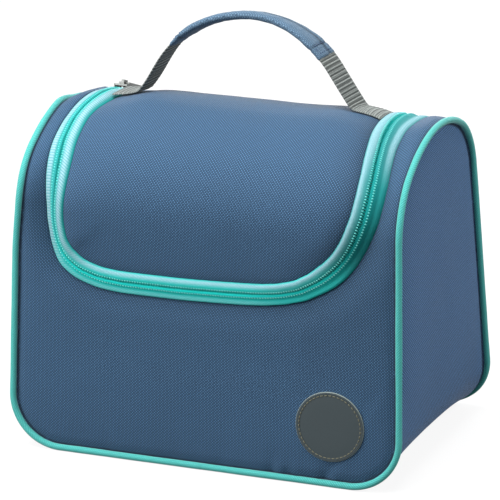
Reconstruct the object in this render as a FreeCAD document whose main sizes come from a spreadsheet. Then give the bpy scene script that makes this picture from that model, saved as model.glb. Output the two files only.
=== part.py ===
import FreeCAD, Part
import math
import os

import Sketcher

V = FreeCAD.Vector
Rotation = FreeCAD.Rotation

# Driving sizes in millimetres and degrees; a text is worked out from the others
SIZES = {
    # bag body, measured on the outer face of the fabric
    "bag_width": 247.2,
    "bag_depth": 167.0,
    "bag_height": 205.2,
    "apex_back": -7.5,
    "top_share": 0.5407,
    "front_share": 0.27,
    "back_share": 0.2485,
    "top_radius": "=bag_depth * top_share",
    "front_shoulder": "=bag_depth * front_share",
    "back_shoulder": "=bag_depth * back_share",
    "front_lean": 1.71,
    "back_lean": 10.18,
    "side_lean": 1.2,
    "base_corner": 31.0,
    # wall layers
    "skin_thickness": 0.8,
    "foam_thickness": 5.0,
    "lining_thickness": 0.5,
    # corded edge
    "piping_radius": 2.0,
    "piping_seat": 1.45,
    "piping_height": 2.05,
    "piping_clearance": 0.05,
    # zipper band and its U-shaped route
    "zip_margin": 25.4,
    "zip_half_width": "=bag_width / 2 - zip_margin",
    "zip_bottom": 112.0,
    "zip_corner": 40.0,
    "zip_lean": 1.9,
    "zip_band": 8.5,
    "zip_slit": 1.9,
    "zip_channel": 5.4,
    "zip_end_share": 0.2156,
    "zip_end": "=bag_depth * zip_end_share",
    "tooth_pitch": 2.4,
    "tooth_width": 1.5,
    "tooth_head": 0.8,
    "tooth_reach": 3.0,
    "tooth_tip": 0.3,
    "tooth_height": 1.3,
    "tooth_seat": 0.02,
    # fold that carries the lid
    "hinge_back": 14.0,
    "hinge_rise": 2.0,
    "fold_half": 4.0,
    "lid_gap": 0.5,
    "tape_gap": 0.3,
    # carrying handle
    "web_width": 25.0,
    "web_thickness": 1.6,
    "web_margin": 12.2,
    "web_end": "=zip_half_width - web_margin",
    "handle_lean": 2.9,
    "handle_rise": 54.5,
    "handle_apex": "=bag_height + handle_rise",
    "handle_radius": 64.0,
    "leg_slope": 55.0,
    "bend_radius": 8.0,
    "grip_half_length": 47.0,
    "grip_thickness": 5.0,
    "grip_waist": 15.0,
    "grip_side": 1.2,
    # zipper slider, its pull and the end stops
    "slider_share": 0.1377,
    "slider_back": "=bag_depth * slider_share",
    "slider_width": 9.4,
    "slider_tail": 8.2,
    "slider_length": 11.0,
    "slider_plate": 1.1,
    "slider_play": 0.3,
    "flange_width": 0.9,
    "wedge_width": 2.6,
    "wedge_length": 3.6,
    "bail_width": 1.8,
    "bail_length": 6.0,
    "bail_rise": 2.9,
    "bail_bar": 0.9,
    "pull_length": 26.0,
    "pull_width": 7.0,
    "pull_thickness": 1.2,
    "pull_window": 5.0,
    "pull_arm": 1.8,
    "pull_corner": 2.5,
    "pin_radius": 0.6,
    "stop_length": 2.0,
    "stop_width": 1.4,
    "stop_height": 1.2,
    "stop_space": 0.4,
    # round patch on the front
    "badge_diameter": 43.0,
    "badge_thickness": 1.6,
    "badge_rim": 1.6,
    "badge_recess": 0.4,
    "badge_inset": 42.3,
    "badge_right": "=bag_width / 2 - badge_inset",
    "badge_up": 37.8,
}

doc = FreeCAD.newDocument("insulated_lunch_bag")
sheet = doc.addObject("Spreadsheet::Sheet", "sizes")
for row, (name, value) in enumerate(SIZES.items(), start=1):
    sheet.set(f"A{row}", name)
    sheet.set(f"B{row}", str(value))
    sheet.setAlias(f"B{row}", name)
doc.recompute()

SIDE_PLANE = Rotation(V(1, 1, 1), 120)
FRONT_PLANE = Rotation(V(1, 0, 0), 90)
nodes = []


def size(name):
    """A driving size as a number."""
    return float(sheet.get(name))


def bind(item, **expressions):
    """Ties properties to the sheet; a dot in a property path is written as two underscores."""
    for path, text in expressions.items():
        item.setExpression(path.replace("__", "."), with_sheet(text))
    return item


def with_sheet(text):
    """Writes the sheet's name before every size that an expression uses."""
    words = []
    for piece in text.split(" "):
        bare = piece.strip("()")
        words.append(piece.replace(bare, f"sizes.{bare}") if bare in SIZES else piece)
    return " ".join(words)


def node(item, label):
    """Marks a finished piece; its label names its file."""
    item.Label = label
    nodes.append(item)
    return item


def cos_of(name):
    return math.cos(math.radians(size(name)))


def sin_of(name):
    return math.sin(math.radians(size(name)))


def tan_of(name):
    return math.tan(math.radians(size(name)))


# Side view of the bag: two leaning walls and a dome of three tangent arcs
class Arch:
    """The dome in the Y-Z plane, moved outwards from the fabric by a distance."""

    def __init__(self, outset=0.0):
        self.top_radius = size("top_radius") + outset
        self.front_radius = size("front_shoulder") + outset
        self.back_radius = size("back_shoulder") + outset
        self.top = V(0, size("apex_back"), size("bag_height") - size("top_radius"))
        self.front = self.shoulder(-1, "front_lean", size("front_shoulder"))
        self.back = self.shoulder(1, "back_lean", size("back_shoulder"))
        self.front_angle = 180 - size("front_lean")
        self.back_angle = size("back_lean")
        self.front_join = self.angle_from_top(self.front)
        self.back_join = self.angle_from_top(self.back)

    def shoulder(self, side, lean, radius):
        """Centre of the arc that touches a wall and the top arc from inside."""
        along = V(0, -side * sin_of(lean), cos_of(lean))
        inward = V(0, -side * cos_of(lean), -sin_of(lean))
        start = V(0, side * size("bag_depth") / 2, 0) + inward * radius
        gap = start - self.top
        half = gap.dot(along)
        rest = gap.dot(gap) - (size("top_radius") - radius) ** 2
        return start + along * (-half + math.sqrt(half**2 - rest))

    def angle_from_top(self, centre):
        offset = centre - self.top
        return math.degrees(math.atan2(offset.z, offset.y))

    @staticmethod
    def on_circle(centre, radius, angle):
        turn = math.radians(angle)
        return centre + V(0, math.cos(turn), math.sin(turn)) * radius

    def arc(self, centre, radius, start, end):
        points = [self.on_circle(centre, radius, a) for a in (start, (start + end) / 2, end)]
        return Part.Arc(*points)

    def arcs(self):
        """Front shoulder, top and back shoulder, from front to back."""
        return [
            self.arc(self.front, self.front_radius, self.front_angle, self.front_join),
            self.arc(self.top, self.top_radius, self.front_join, self.back_join),
            self.arc(self.back, self.back_radius, self.back_join, self.back_angle),
        ]

    def wall_foot(self, side, height):
        """Point of the front (-1) or back (1) wall at a height above the floor."""
        lean = "front_lean" if side < 0 else "back_lean"
        outset = self.top_radius - size("top_radius")
        reach = size("bag_depth") / 2 + outset / cos_of(lean) - height * tan_of(lean)
        return V(0, side * reach, height)

    def top_angle(self, back):
        """Angle on the top arc of the place at a distance back from the origin."""
        return math.degrees(math.acos((back - self.top.y) / self.top_radius))


arch = Arch()
BELOW_FLOOR = 20.0
ABOVE_DOME = 40.0
CORD_SIDES = 8
SEARCH_STEP = 0.05
TOUCH = 1e-3


def flat(point):
    """A point of the side view in the plane of its sketch."""
    return V(point.y, point.z, 0)


def mirrored(point, side):
    """A sketch point on the right (1) or the left (-1)."""
    return V(side * point.x, point.y, 0)


def constrain(sketch, kind, *arguments, text=None):
    """Adds one constraint, tied to an expression where it has a size."""
    index = sketch.addConstraint(Sketcher.Constraint(kind, *arguments))
    if text is not None:
        sketch.setExpression(f"Constraints[{index}]", with_sheet(text))


def side_sketch():
    """Closed side outline; its walls run on below the floor."""
    sketch = doc.addObject("Sketcher::SketchObject", "side_outline")
    sketch.Placement = FreeCAD.Placement(V(), SIDE_PLANE)
    foot_front = arch.wall_foot(-1, -BELOW_FLOOR)
    foot_back = arch.wall_foot(1, -BELOW_FLOOR)
    edges = [curve.toShape() for curve in arch.arcs()]
    front_top, back_top = edges[0].Vertexes[0].Point, edges[2].Vertexes[1].Point
    base = sketch.addGeometry(Part.LineSegment(flat(foot_front), flat(foot_back)))
    back = sketch.addGeometry(Part.LineSegment(flat(foot_back), flat(back_top)))
    circles = []
    for centre, radius, start, end in (
        (arch.back, arch.back_radius, arch.back_angle, arch.back_join),
        (arch.top, arch.top_radius, arch.back_join, arch.front_join),
        (arch.front, arch.front_radius, arch.front_join, arch.front_angle),
    ):
        circle = Part.Circle(flat(centre), V(0, 0, 1), radius)
        turn = Part.ArcOfCircle(circle, math.radians(start), math.radians(end))
        circles.append(sketch.addGeometry(turn))
    front = sketch.addGeometry(Part.LineSegment(flat(foot_front), flat(front_top)))
    constrain(sketch, "Coincident", base, 2, back, 1)
    constrain(sketch, "Coincident", base, 1, front, 1)
    constrain(sketch, "Tangent", back, 2, circles[0], 1)
    constrain(sketch, "Tangent", circles[0], 2, circles[1], 1)
    constrain(sketch, "Tangent", circles[1], 2, circles[2], 1)
    constrain(sketch, "Tangent", circles[2], 2, front, 2)
    constrain(sketch, "Horizontal", base)
    for circle, name in zip(circles, ("back_shoulder", "top_radius", "front_shoulder")):
        constrain(sketch, "Radius", circle, size(name), text=name)
    constrain(sketch, "DistanceX", circles[1], 3, size("apex_back"), text="apex_back")
    constrain(sketch, "DistanceY", circles[1], 3, arch.top.z, text="bag_height - top_radius")
    constrain(sketch, "DistanceY", base, 1, -BELOW_FLOOR)
    half_front = f"-1 * bag_depth / 2 - {BELOW_FLOOR} * tan( front_lean * 1 deg )"
    half_back = f"bag_depth / 2 + {BELOW_FLOOR} * tan( back_lean * 1 deg )"
    constrain(sketch, "DistanceX", front, 1, foot_front.y, text=half_front)
    constrain(sketch, "DistanceX", back, 1, foot_back.y, text=half_back)
    front_turn = math.radians(90 - size("front_lean"))
    back_turn = math.radians(90 + size("back_lean"))
    constrain(sketch, "Angle", front, front_turn, text="( 90 - front_lean ) * 1 deg")
    constrain(sketch, "Angle", back, back_turn, text="( 90 + back_lean ) * 1 deg")
    return sketch


def tub_sketch(name, half_width, floor, corner, lean):
    """Front outline of a tub: a level floor, two round corners and two leaning sides."""
    sketch = doc.addObject("Sketcher::SketchObject", name)
    sketch.Placement = FreeCAD.Placement(V(), FRONT_PLANE)
    top = size("bag_height") + ABOVE_DOME
    top_text = f"bag_height + {ABOVE_DOME}"
    half, low = half_width[0], floor[0]
    radius, slope = size(corner), size(lean)
    spread = radius * math.tan(math.radians(45 + slope / 2))
    rise = V(-sin_of(lean), cos_of(lean), 0)
    foot = V(half, low, 0)
    head = V(half - (top - low) * tan_of(lean), top, 0)
    lines = {}
    arcs = {}
    floor_line = Part.LineSegment(V(spread - half, low, 0), V(half - spread, low, 0))
    base = sketch.addGeometry(floor_line)
    for side in (1, -1):
        tangent = foot + rise * spread
        centre = mirrored(V(half - spread, low + radius, 0), side)
        circle = Part.Circle(centre, V(0, 0, 1), radius)
        turns = (-90, slope) if side > 0 else (180 - slope, 270)
        arc = Part.ArcOfCircle(circle, math.radians(turns[0]), math.radians(turns[1]))
        arcs[side] = sketch.addGeometry(arc)
        wall = Part.LineSegment(mirrored(tangent, side), mirrored(head, side))
        lines[side] = sketch.addGeometry(wall)
    lid = sketch.addGeometry(Part.LineSegment(head, V(-head.x, top, 0)))
    constrain(sketch, "Tangent", base, 2, arcs[1], 1)
    constrain(sketch, "Tangent", arcs[1], 2, lines[1], 1)
    constrain(sketch, "Tangent", base, 1, arcs[-1], 2)
    constrain(sketch, "Tangent", arcs[-1], 1, lines[-1], 1)
    constrain(sketch, "Coincident", lines[1], 2, lid, 1)
    constrain(sketch, "Coincident", lines[-1], 2, lid, 2)
    constrain(sketch, "Horizontal", base)
    constrain(sketch, "Horizontal", lid)
    for side in (1, -1):
        constrain(sketch, "Radius", arcs[side], radius, text=corner)
        turn = f"( 90 + {side} * {lean} ) * 1 deg"
        constrain(sketch, "Angle", lines[side], math.radians(90 + side * slope), text=turn)
        reach = f"{side} * ( {half_width[1]} - ( {top_text} - {floor[1]} ) * tan( {lean} * 1 deg ) )"
        constrain(sketch, "DistanceX", lines[side], 2, side * head.x, text=reach)
    constrain(sketch, "DistanceY", base, 1, low, text=floor[1])
    constrain(sketch, "DistanceY", lid, 1, top, text=top_text)
    return sketch


def offset(name, source, text):
    """An outline moved outwards by a size, or inwards where it is negative."""
    item = doc.addObject("Part::Offset2D", name)
    item.Source = source
    item.Join = "Intersection"
    return bind(item, Value=text)


def prism(name, outline, direction, ahead, behind):
    """A solid from an outline, drawn out both ways along a direction."""
    item = doc.addObject("Part::Extrusion", name)
    item.Base = outline
    item.DirMode = "Custom"
    item.Dir = direction
    item.Solid = True
    return bind(item, LengthFwd=ahead, LengthRev=behind)


def slab(name, across, along, up):
    """A box between two places on each axis."""
    item = doc.addObject("Part::Box", name)
    spans = (("Length", "x", across), ("Width", "y", along), ("Height", "z", up))
    for prop, axis, (low, high) in spans:
        bind(item, **{prop: f"( {high} ) - ( {low} )", f"Placement__Base__{axis}": low})
    return item


def boolean(kind, name, base, tool):
    item = doc.addObject(f"Part::{kind}", name)
    item.Base = base
    item.Tool = tool
    return item


def common(name, base, tool):
    return boolean("Common", name, base, tool)


def cut(name, base, tool):
    return boolean("Cut", name, base, tool)


# Wall layers, each the space between two nested volumes
side_outline = side_sketch()
front_outline = tub_sketch(
    "front_outline", (size("bag_width") / 2, "bag_width / 2"), (0, "0"), "base_corner", "side_lean"
)
DEPTHS = {
    "skin": "0",
    "foam": "skin_thickness",
    "lining": "skin_thickness + foam_thickness",
    "cavity": "skin_thickness + foam_thickness + lining_thickness",
}
side_solid, front_solid, volume = {}, {}, {}
for layer, depth in DEPTHS.items():
    side, front = side_outline, front_outline
    if layer != "skin":
        side = offset(f"side_line_{layer}", side_outline, f"-1 * ( {depth} )")
        front = offset(f"front_line_{layer}", front_outline, f"-1 * ( {depth} )")
    side_solid[layer] = prism(f"side_prism_{layer}", side, V(1, 0, 0), "bag_width", "bag_width")
    front_solid[layer] = prism(f"front_prism_{layer}", front, V(0, 1, 0), "bag_depth", "bag_depth")
    volume[layer] = common(f"volume_{layer}", side_solid[layer], front_solid[layer])

LAYERS = ("skin", "foam", "lining")
INNER = {"skin": "foam", "foam": "lining", "lining": "cavity"}
wrap, gusset = {}, {}
for layer in LAYERS:
    inner = INNER[layer]
    wrap[layer] = cut(f"wrap_{layer}", volume[layer], side_solid[inner])
    strip = common(f"strip_{layer}", volume[layer], side_solid[inner])
    gusset[layer] = cut(f"gusset_{layer}", strip, front_solid[inner])

# Zipper zones: the U outline grown or shrunk, drawn through the front and the dome
zip_outline = tub_sketch(
    "zip_outline",
    (size("zip_half_width"), "zip_half_width"),
    (size("zip_bottom"), "zip_bottom"),
    "zip_corner",
    "zip_lean",
)


def zip_zone(name, grow, back):
    """Everything inside the U, grown by a size, from far in front to a place behind."""
    outline = offset(f"{name}_outline", zip_outline, grow)
    return prism(name, outline, V(0, 1, 0), back, "bag_depth")


def zip_ring(name, outer, inner, back):
    whole = zip_zone(f"{name}_outer", outer, back)
    return cut(name, whole, zip_zone(f"{name}_inner", inner, f"{back} + lid_gap"))


X_SPAN = ("-1 * bag_width", "bag_width")
Z_SPAN = (f"-{BELOW_FLOOR}", f"bag_height + {ABOVE_DOME}")
front_zone = slab("front_zone", X_SPAN, ("-1 * bag_depth", "hinge_back"), Z_SPAN)
back_zone = slab("back_zone", X_SPAN, ("hinge_back", "bag_depth"), Z_SPAN)
fold_span = ("hinge_back - fold_half", "hinge_back + fold_half")
fold_zone = slab("fold_zone", X_SPAN, fold_span, Z_SPAN)
end_zone = slab("end_zone", X_SPAN, ("hinge_back + tape_gap", "zip_end"), Z_SPAN)

front_part, back_part = {}, {}
for layer in LAYERS:
    front_part[layer] = common(f"wrap_front_{layer}", wrap[layer], front_zone)
    back_part[layer] = common(f"wrap_back_{layer}", wrap[layer], back_zone)


def piping_route(side):
    """Centre-line of half the corded edge, from mid front, round one side, to mid back."""
    edge = Arch(size("piping_seat"))
    height = size("piping_height")
    half = size("bag_width") / 2 + size("piping_seat") - height * tan_of("side_lean")
    tilt = Rotation(V(0, 1, 0), -size("side_lean"))
    corner = size("base_corner")

    def placed(p):
        """Stands a point of the side view on the leaning side of the bag."""
        return tilt.multVec(V(0, p.y, p.z - height)) + V(half, 0, height)

    pieces = []
    front_top = edge.on_circle(edge.front, edge.front_radius, edge.front_angle)
    back_top = edge.on_circle(edge.back, edge.back_radius, edge.back_angle)
    for way, top in ((-1, front_top), (1, back_top)):
        foot = placed(edge.wall_foot(way, height))
        rise = (placed(top) - foot).normalize()
        inward = V(-1, 0, 0)
        spread = corner / math.tan(rise.getAngle(inward) / 2)
        middle = (rise + inward).normalize()
        centre = foot + middle * (corner / math.sin(rise.getAngle(inward) / 2))
        level, upright = foot + inward * spread, foot + rise * spread
        run = [
            Part.LineSegment(V(0, foot.y, foot.z), level).toShape(),
            Part.Arc(level, centre - middle * corner, upright).toShape(),
            Part.LineSegment(upright, placed(top)).toShape(),
        ]
        pieces.append(run if way < 0 else run[::-1])
    dome = []
    for curve in edge.arcs():
        first, last = curve.FirstParameter, curve.LastParameter
        points = [placed(curve.value(t)) for t in (first, (first + last) / 2, last)]
        dome.append(Part.Arc(*points).toShape())
    wire = Part.Wire(Part.__sortEdges__(pieces[0] + dome + pieces[1]))
    return wire.mirror(V(), V(1, 0, 0)) if side < 0 else wire


def piping_cord():
    """The corded edge as one closed ring of flat-sided cord, made of a left and a right half."""
    start = Arch(size("piping_seat")).wall_foot(-1, size("piping_height"))
    corners = []
    for step in range(CORD_SIDES + 1):
        turn = 2 * math.pi * (step + 0.5) / CORD_SIDES
        corners.append(start + V(0, math.cos(turn), math.sin(turn)) * size("piping_radius"))
    section = Part.Face(Part.makePolygon(corners))
    halves = [Part.Wire(piping_route(side)).makePipe(section) for side in (-1, 1)]
    ring = doc.addObject("Part::Feature", "piping_ring")
    ring.Shape = halves[0].fuse(halves[1]).removeSplitter()
    ring.Placement = FreeCAD.Placement()
    return node(ring, "piping")


piping_cord()

# Outline of the wrap where it meets the corded edge
cord_reach = size("piping_radius") + size("piping_clearance")
seam_half = size("bag_width") / 2 + size("piping_seat") - cord_reach
seam_low = size("piping_height") + cord_reach
wrap_outline = tub_sketch(
    "wrap_outline",
    (seam_half, "bag_width / 2 + piping_seat - piping_radius - piping_clearance"),
    (seam_low, "piping_height + piping_radius + piping_clearance"),
    "base_corner",
    "side_lean",
)
wrap_reach = prism("wrap_reach", wrap_outline, V(0, 1, 0), "bag_depth", "bag_depth")


def seamed(name, panel):
    """An outer panel of the wrap, cut back to the corded edge that is sewn along it."""
    return node(common(f"seam_{name}", panel, wrap_reach), name)


# Outer fabric
opening = zip_zone("opening", "zip_band", "zip_end")
lid_zone = zip_zone("lid_zone", "-1 * zip_band", "hinge_back - fold_half")
band_ring = zip_ring("band_ring", "zip_band", "-1 * zip_band", "zip_end")
fold_cover = zip_zone("fold_cover", "-1 * zip_band", "hinge_back + fold_half")
seamed("front_panel", cut("front_cloth", front_part["skin"], opening))
back_cloth = cut("back_cloth", back_part["skin"], band_ring)
seamed("back_panel", cut("back_cloth_edge", back_cloth, fold_cover))
node(common("lid_cloth", wrap["skin"], lid_zone), "lid_panel")
fold_strip = common("fold_strip", wrap["skin"], fold_cover)
node(common("fold_cloth", fold_strip, fold_zone), "lid_hinge_fold")

# Zipper tapes
body_ring = zip_ring("body_ring", "zip_band", "zip_slit", "zip_end")
lid_ring = zip_ring("lid_ring", "-1 * zip_slit", "-1 * zip_band", "hinge_back - tape_gap")
end_ring = zip_ring("end_ring", "-1 * zip_slit", "-1 * zip_band", "zip_end")
node(common("body_tape", wrap["skin"], body_ring), "zipper_tape_body")
node(common("lid_tape", wrap["skin"], lid_ring), "zipper_tape_lid")
end_strip = common("end_strip", wrap["skin"], end_ring)
node(common("end_tape", end_strip, end_zone), "zipper_tape_ends")

# Foam and lining of the wrap, with a channel for the slider under the zipper
channel = zip_zone("channel", "zip_channel", "zip_end")
lid_core = zip_zone("lid_core", "-1 * zip_channel", "hinge_back - lid_gap")
channel_ring = zip_ring("channel_ring", "zip_channel", "-1 * zip_channel", "zip_end")
for layer in ("foam", "lining"):
    node(cut(f"front_{layer}_cut", front_part[layer], channel), f"front_{layer}")
    node(cut(f"back_{layer}_cut", back_part[layer], channel_ring), f"back_{layer}")
    node(common(f"lid_{layer}_cut", wrap[layer], lid_core), f"lid_{layer}")

# Gusset: two side panels with their round lower corners and a flat base
Y_SPAN = ("-1 * bag_depth", "bag_depth")
base_edge = "bag_width / 2 - base_corner * tan( 45 deg + side_lean * 0.5 deg )"
left_zone = slab("left_zone", ("-1 * bag_width", f"-1 * ( {base_edge} )"), Y_SPAN, Z_SPAN)
right_zone = slab("right_zone", (base_edge, "bag_width"), Y_SPAN, Z_SPAN)
base_zone = slab("base_zone", (f"-1 * ( {base_edge} )", base_edge), Y_SPAN, Z_SPAN)
for layer, word in (("skin", "panel"), ("foam", "foam"), ("lining", "lining")):
    for name, zone in (
        (f"side_{word}_left", left_zone),
        (f"side_{word}_right", right_zone),
        (f"base_{word}", base_zone),
    ):
        node(common(f"{name}_cut", gusset[layer], zone), name)


# Zipper teeth along the U
class ZipRoute:
    """Right half of the zipper's centre-line on the fabric, by distance from mid front."""

    def __init__(self):
        lean, half, radius = size("zip_lean"), size("zip_half_width"), size("zip_corner")
        self.low = size("zip_bottom")
        spread = radius * math.tan(math.radians(45 + lean / 2))
        self.level = half - spread
        self.radius = radius
        self.turn = math.radians(90 + lean)
        self.corner_length = radius * self.turn
        self.leg_foot = V(half, 0, self.low) + V(-sin_of("zip_lean"), 0, cos_of("zip_lean")) * spread
        self.wall_top = arch.on_circle(arch.front, arch.front_radius, arch.front_angle).z
        self.leg_length = (self.wall_top - self.leg_foot.z) / cos_of("zip_lean")
        self.sweeps = [
            (arch.front, arch.front_radius, arch.front_angle, arch.front_join),
            (arch.top, arch.top_radius, arch.front_join, arch.back_join),
            (arch.back, arch.back_radius, arch.back_join, arch.back_angle),
        ]

    def leg_across(self, height):
        return size("zip_half_width") - (height - self.low) * tan_of("zip_lean")

    def on_wall(self, across, height, along):
        """Place, direction and outward normal on the front wall."""
        outward = V(0, -cos_of("front_lean"), sin_of("front_lean"))
        back = -size("bag_depth") / 2 + height * tan_of("front_lean")
        tangent = V(along.x, along.z * sin_of("front_lean"), along.z * cos_of("front_lean"))
        return V(across, back, height), tangent.normalize(), outward

    def at(self, distance):
        if distance <= self.level:
            return self.on_wall(distance, self.low, V(1, 0, 0))
        distance -= self.level
        if distance <= self.corner_length:
            turn = distance / self.radius
            across = self.level + self.radius * math.sin(turn)
            height = self.low + self.radius * (1 - math.cos(turn))
            return self.on_wall(across, height, V(math.cos(turn), 0, math.sin(turn)))
        distance -= self.corner_length
        rise = V(-sin_of("zip_lean"), 0, cos_of("zip_lean"))
        if distance <= self.leg_length:
            place = self.leg_foot + rise * distance
            return self.on_wall(place.x, place.z, rise)
        distance -= self.leg_length
        for centre, radius, start, end in self.sweeps:
            length = math.radians(start - end) * radius
            if distance <= length:
                angle = start - math.degrees(distance / radius)
                place = arch.on_circle(centre, radius, angle)
                outward = (place - centre).normalize()
                place.x = self.leg_across(place.z)
                return place, V(0, outward.z, -outward.y), outward
            distance -= length
        raise ValueError("the zipper is shorter than that")

    def distance_to(self, back):
        """Distance at which the route passes a place behind the dome's front."""
        distance = self.level + self.corner_length + self.leg_length
        while self.at(distance)[0].y < back:
            distance += SEARCH_STEP
        return distance


route = ZipRoute()


def zip_solid(distance, side, points, height):
    """A small solid standing on the tape; points run along and away from the centre-line.

    Side is 1 for the row on the body and -1 for the row on the lid.
    """
    place, along, outward = route.at(distance)
    away = along.cross(outward) * side
    place = place + outward * size("tooth_seat")
    corners = [place + along * u + away * v for u, v in points]
    face = Part.Face(Part.makePolygon(corners + corners[:1]))
    return face.extrude(outward * height)


def tooth(distance, side):
    root, head = size("tooth_width") / 2, size("tooth_head") / 2
    reach, tip = size("tooth_reach"), size("tooth_tip")
    outline = [(-head, -tip), (head, -tip), (root, reach), (-root, reach)]
    return zip_solid(distance, side, outline, size("tooth_height"))


def both_legs(solid):
    return [solid, solid.mirror(V(), V(1, 0, 0))]


def placed_feature(label, solids):
    item = doc.addObject("Part::Feature", f"{label}_set")
    item.Shape = Part.makeCompound(solids)
    item.Placement = FreeCAD.Placement()
    return node(item, label)


pitch = size("tooth_pitch")
last_tooth = route.distance_to(size("slider_back"))
hinge_distance = route.distance_to(size("hinge_back"))
tooth_room = size("tooth_width") / 2 + size("tape_gap")
body_teeth = [tooth(0, 1)]
lid_teeth = []
count = int(last_tooth / pitch)
for step in range(1, count):
    body_teeth += both_legs(tooth(step * pitch, 1))
for step in range(count):
    distance = (step + 0.5) * pitch
    if distance < hinge_distance - tooth_room:
        lid_teeth += both_legs(tooth(distance, -1))
    elif distance > hinge_distance + tooth_room:
        body_teeth += both_legs(tooth(distance, -1))
placed_feature("zipper_teeth_body", body_teeth)
placed_feature("zipper_teeth_lid", lid_teeth)

# End stops: a clip on each tape at the left end and a box across both at the right end
stop_start = count * pitch + size("stop_space")
clip_near = size("zip_slit")
clip_far = clip_near + size("stop_width")
stop_end = size("stop_length")
clip = [(0, clip_near), (stop_end, clip_near), (stop_end, clip_far), (0, clip_far)]
bar_half = size("tooth_reach")
bar = [(0, -bar_half), (stop_end, -bar_half), (stop_end, bar_half), (0, bar_half)]
left_clips = [zip_solid(stop_start, row, clip, size("stop_height")) for row in (1, -1)]
left_clips = [solid.mirror(V(), V(1, 0, 0)) for solid in left_clips]
right_bar = zip_solid(stop_start, 1, bar, size("tooth_height"))
placed_feature("zipper_stops", left_clips + [right_bar])


# Slider and pull, drawn about the point of the chain that they stand on
def new_body(name):
    return doc.addObject("PartDesign::Body", name)


def body_box(body, name, across, along, up, kind="Additive"):
    """A box added to a body, or taken out of it, between two places on each axis."""
    item = body.newObject(f"PartDesign::{kind}Box", name)
    spans = (("Length", "x", across), ("Width", "y", along), ("Height", "z", up))
    for prop, axis, (low, high) in spans:
        bind(item, **{prop: f"( {high} ) - ( {low} )", f"Placement__Base__{axis}": low})
    return item


def body_cylinder(body, name, radius, height, base, rotation, kind="Additive"):
    item = body.newObject(f"PartDesign::{kind}Cylinder", name)
    item.Placement = FreeCAD.Placement(V(), rotation)
    bind(item, Radius=radius, Height=height)
    for axis, text in zip("xyz", base):
        bind(item, **{f"Placement__Base__{axis}": text})
    return item


def upright_edges(shape, test):
    """Names of a shape's straight edges along Z whose foot passes a test."""
    found = []
    for index, edge in enumerate(shape.Edges, start=1):
        first, last = edge.Vertexes[0].Point, edge.Vertexes[-1].Point
        upright = abs(first.x - last.x) < TOUCH and abs(first.y - last.y) < TOUCH
        if upright and test(first):
            found.append(f"Edge{index}")
    return found


def mirror_span(text):
    return (f"-1 * ( {text} )", text)


slider = new_body("slider")
tape_under = "skin_thickness + slider_play"
plate_over = "tooth_height + slider_play"
plate_top = f"{plate_over} + slider_plate"
length_span = mirror_span("slider_length / 2")
width_span = mirror_span("slider_width / 2")
under_span = (f"-1 * ( {tape_under} + slider_plate )", f"-1 * ( {tape_under} )")
body_box(slider, "lower_plate", width_span, length_span, under_span)
wedge_along = ("slider_length / 2 - wedge_length", "slider_length / 2")
wedge_up = (f"-1 * ( {tape_under} )", plate_over)
body_box(slider, "wedge", mirror_span("wedge_width / 2"), wedge_along, wedge_up)
body_box(slider, "upper_plate", width_span, length_span, (plate_over, plate_top))
for name, low, high in (
    ("flange_right", "slider_width / 2 - flange_width", "slider_width / 2"),
    ("flange_left", "-1 * slider_width / 2", "-1 * slider_width / 2 + flange_width"),
):
    body_box(slider, name, (low, high), length_span, ("slider_play", plate_over))
bail_span = mirror_span("bail_width / 2")
bail_top = f"{plate_top} + bail_rise"
body_box(slider, "bail", bail_span, mirror_span("bail_length / 2"), (plate_top, bail_top))
window_along = mirror_span("bail_length / 2 - bail_bar")
window_up = (plate_top, f"{bail_top} - bail_bar")
body_box(slider, "bail_window", mirror_span("bail_width"), window_along, window_up, "Subtractive")
doc.recompute()


def at_tail(point):
    return abs(point.x) > size("slider_width") / 2 - TOUCH and point.y < 0


tail_base = slider.Tip
tail_edges = upright_edges(tail_base.Shape, at_tail)
tail = slider.newObject("PartDesign::Chamfer", "tapered_tail")
tail.Base = (tail_base, tail_edges)
bind(tail, Size="( slider_width - slider_tail ) / 2")

pull = new_body("pull")
pull_span = mirror_span("pull_width / 2")
thick_span = mirror_span("pull_thickness / 2")
body_box(pull, "tab", pull_span, ("-1 * pin_radius", "pull_length"), thick_span)
window_span = mirror_span("pull_width / 2 - pull_arm")
window_reach = ("-1 * pull_length", "pull_window")
through_span = mirror_span("pull_width")
body_box(pull, "tab_window", window_span, window_reach, through_span, "Subtractive")
pin_base = ("-1 * pull_width / 2", "0", "0")
body_cylinder(pull, "pin", "pin_radius", "pull_width", pin_base, Rotation(V(0, 1, 0), 90))
doc.recompute()


def at_far_end(point):
    return point.y > size("pull_length") - TOUCH


tab_base = pull.Tip
tab_edges = upright_edges(tab_base.Shape, at_far_end)
tab = pull.newObject("PartDesign::Fillet", "round_tab_end")
tab.Base = (tab_base, tab_edges)
bind(tab, Radius="pull_corner")

slider_angle = arch.top_angle(size("slider_back"))
chain_point = arch.on_circle(arch.top, arch.top_radius, slider_angle)
chain_point.x = -route.leg_across(chain_point.z)
slider_turn = Rotation(V(1, 0, 0), slider_angle - 90)
slider.Placement = FreeCAD.Placement(chain_point, slider_turn)
bail_foot = size("tooth_height") + size("slider_play") + size("slider_plate")
pin_up = bail_foot + (size("bail_rise") - size("bail_bar")) / 2
pin_point = chain_point + slider_turn.multVec(V(0, 0, pin_up))
pull.Placement = FreeCAD.Placement(pin_point, slider_turn)
node(slider, "slider_body")
node(pull, "slider_pull")


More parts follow.
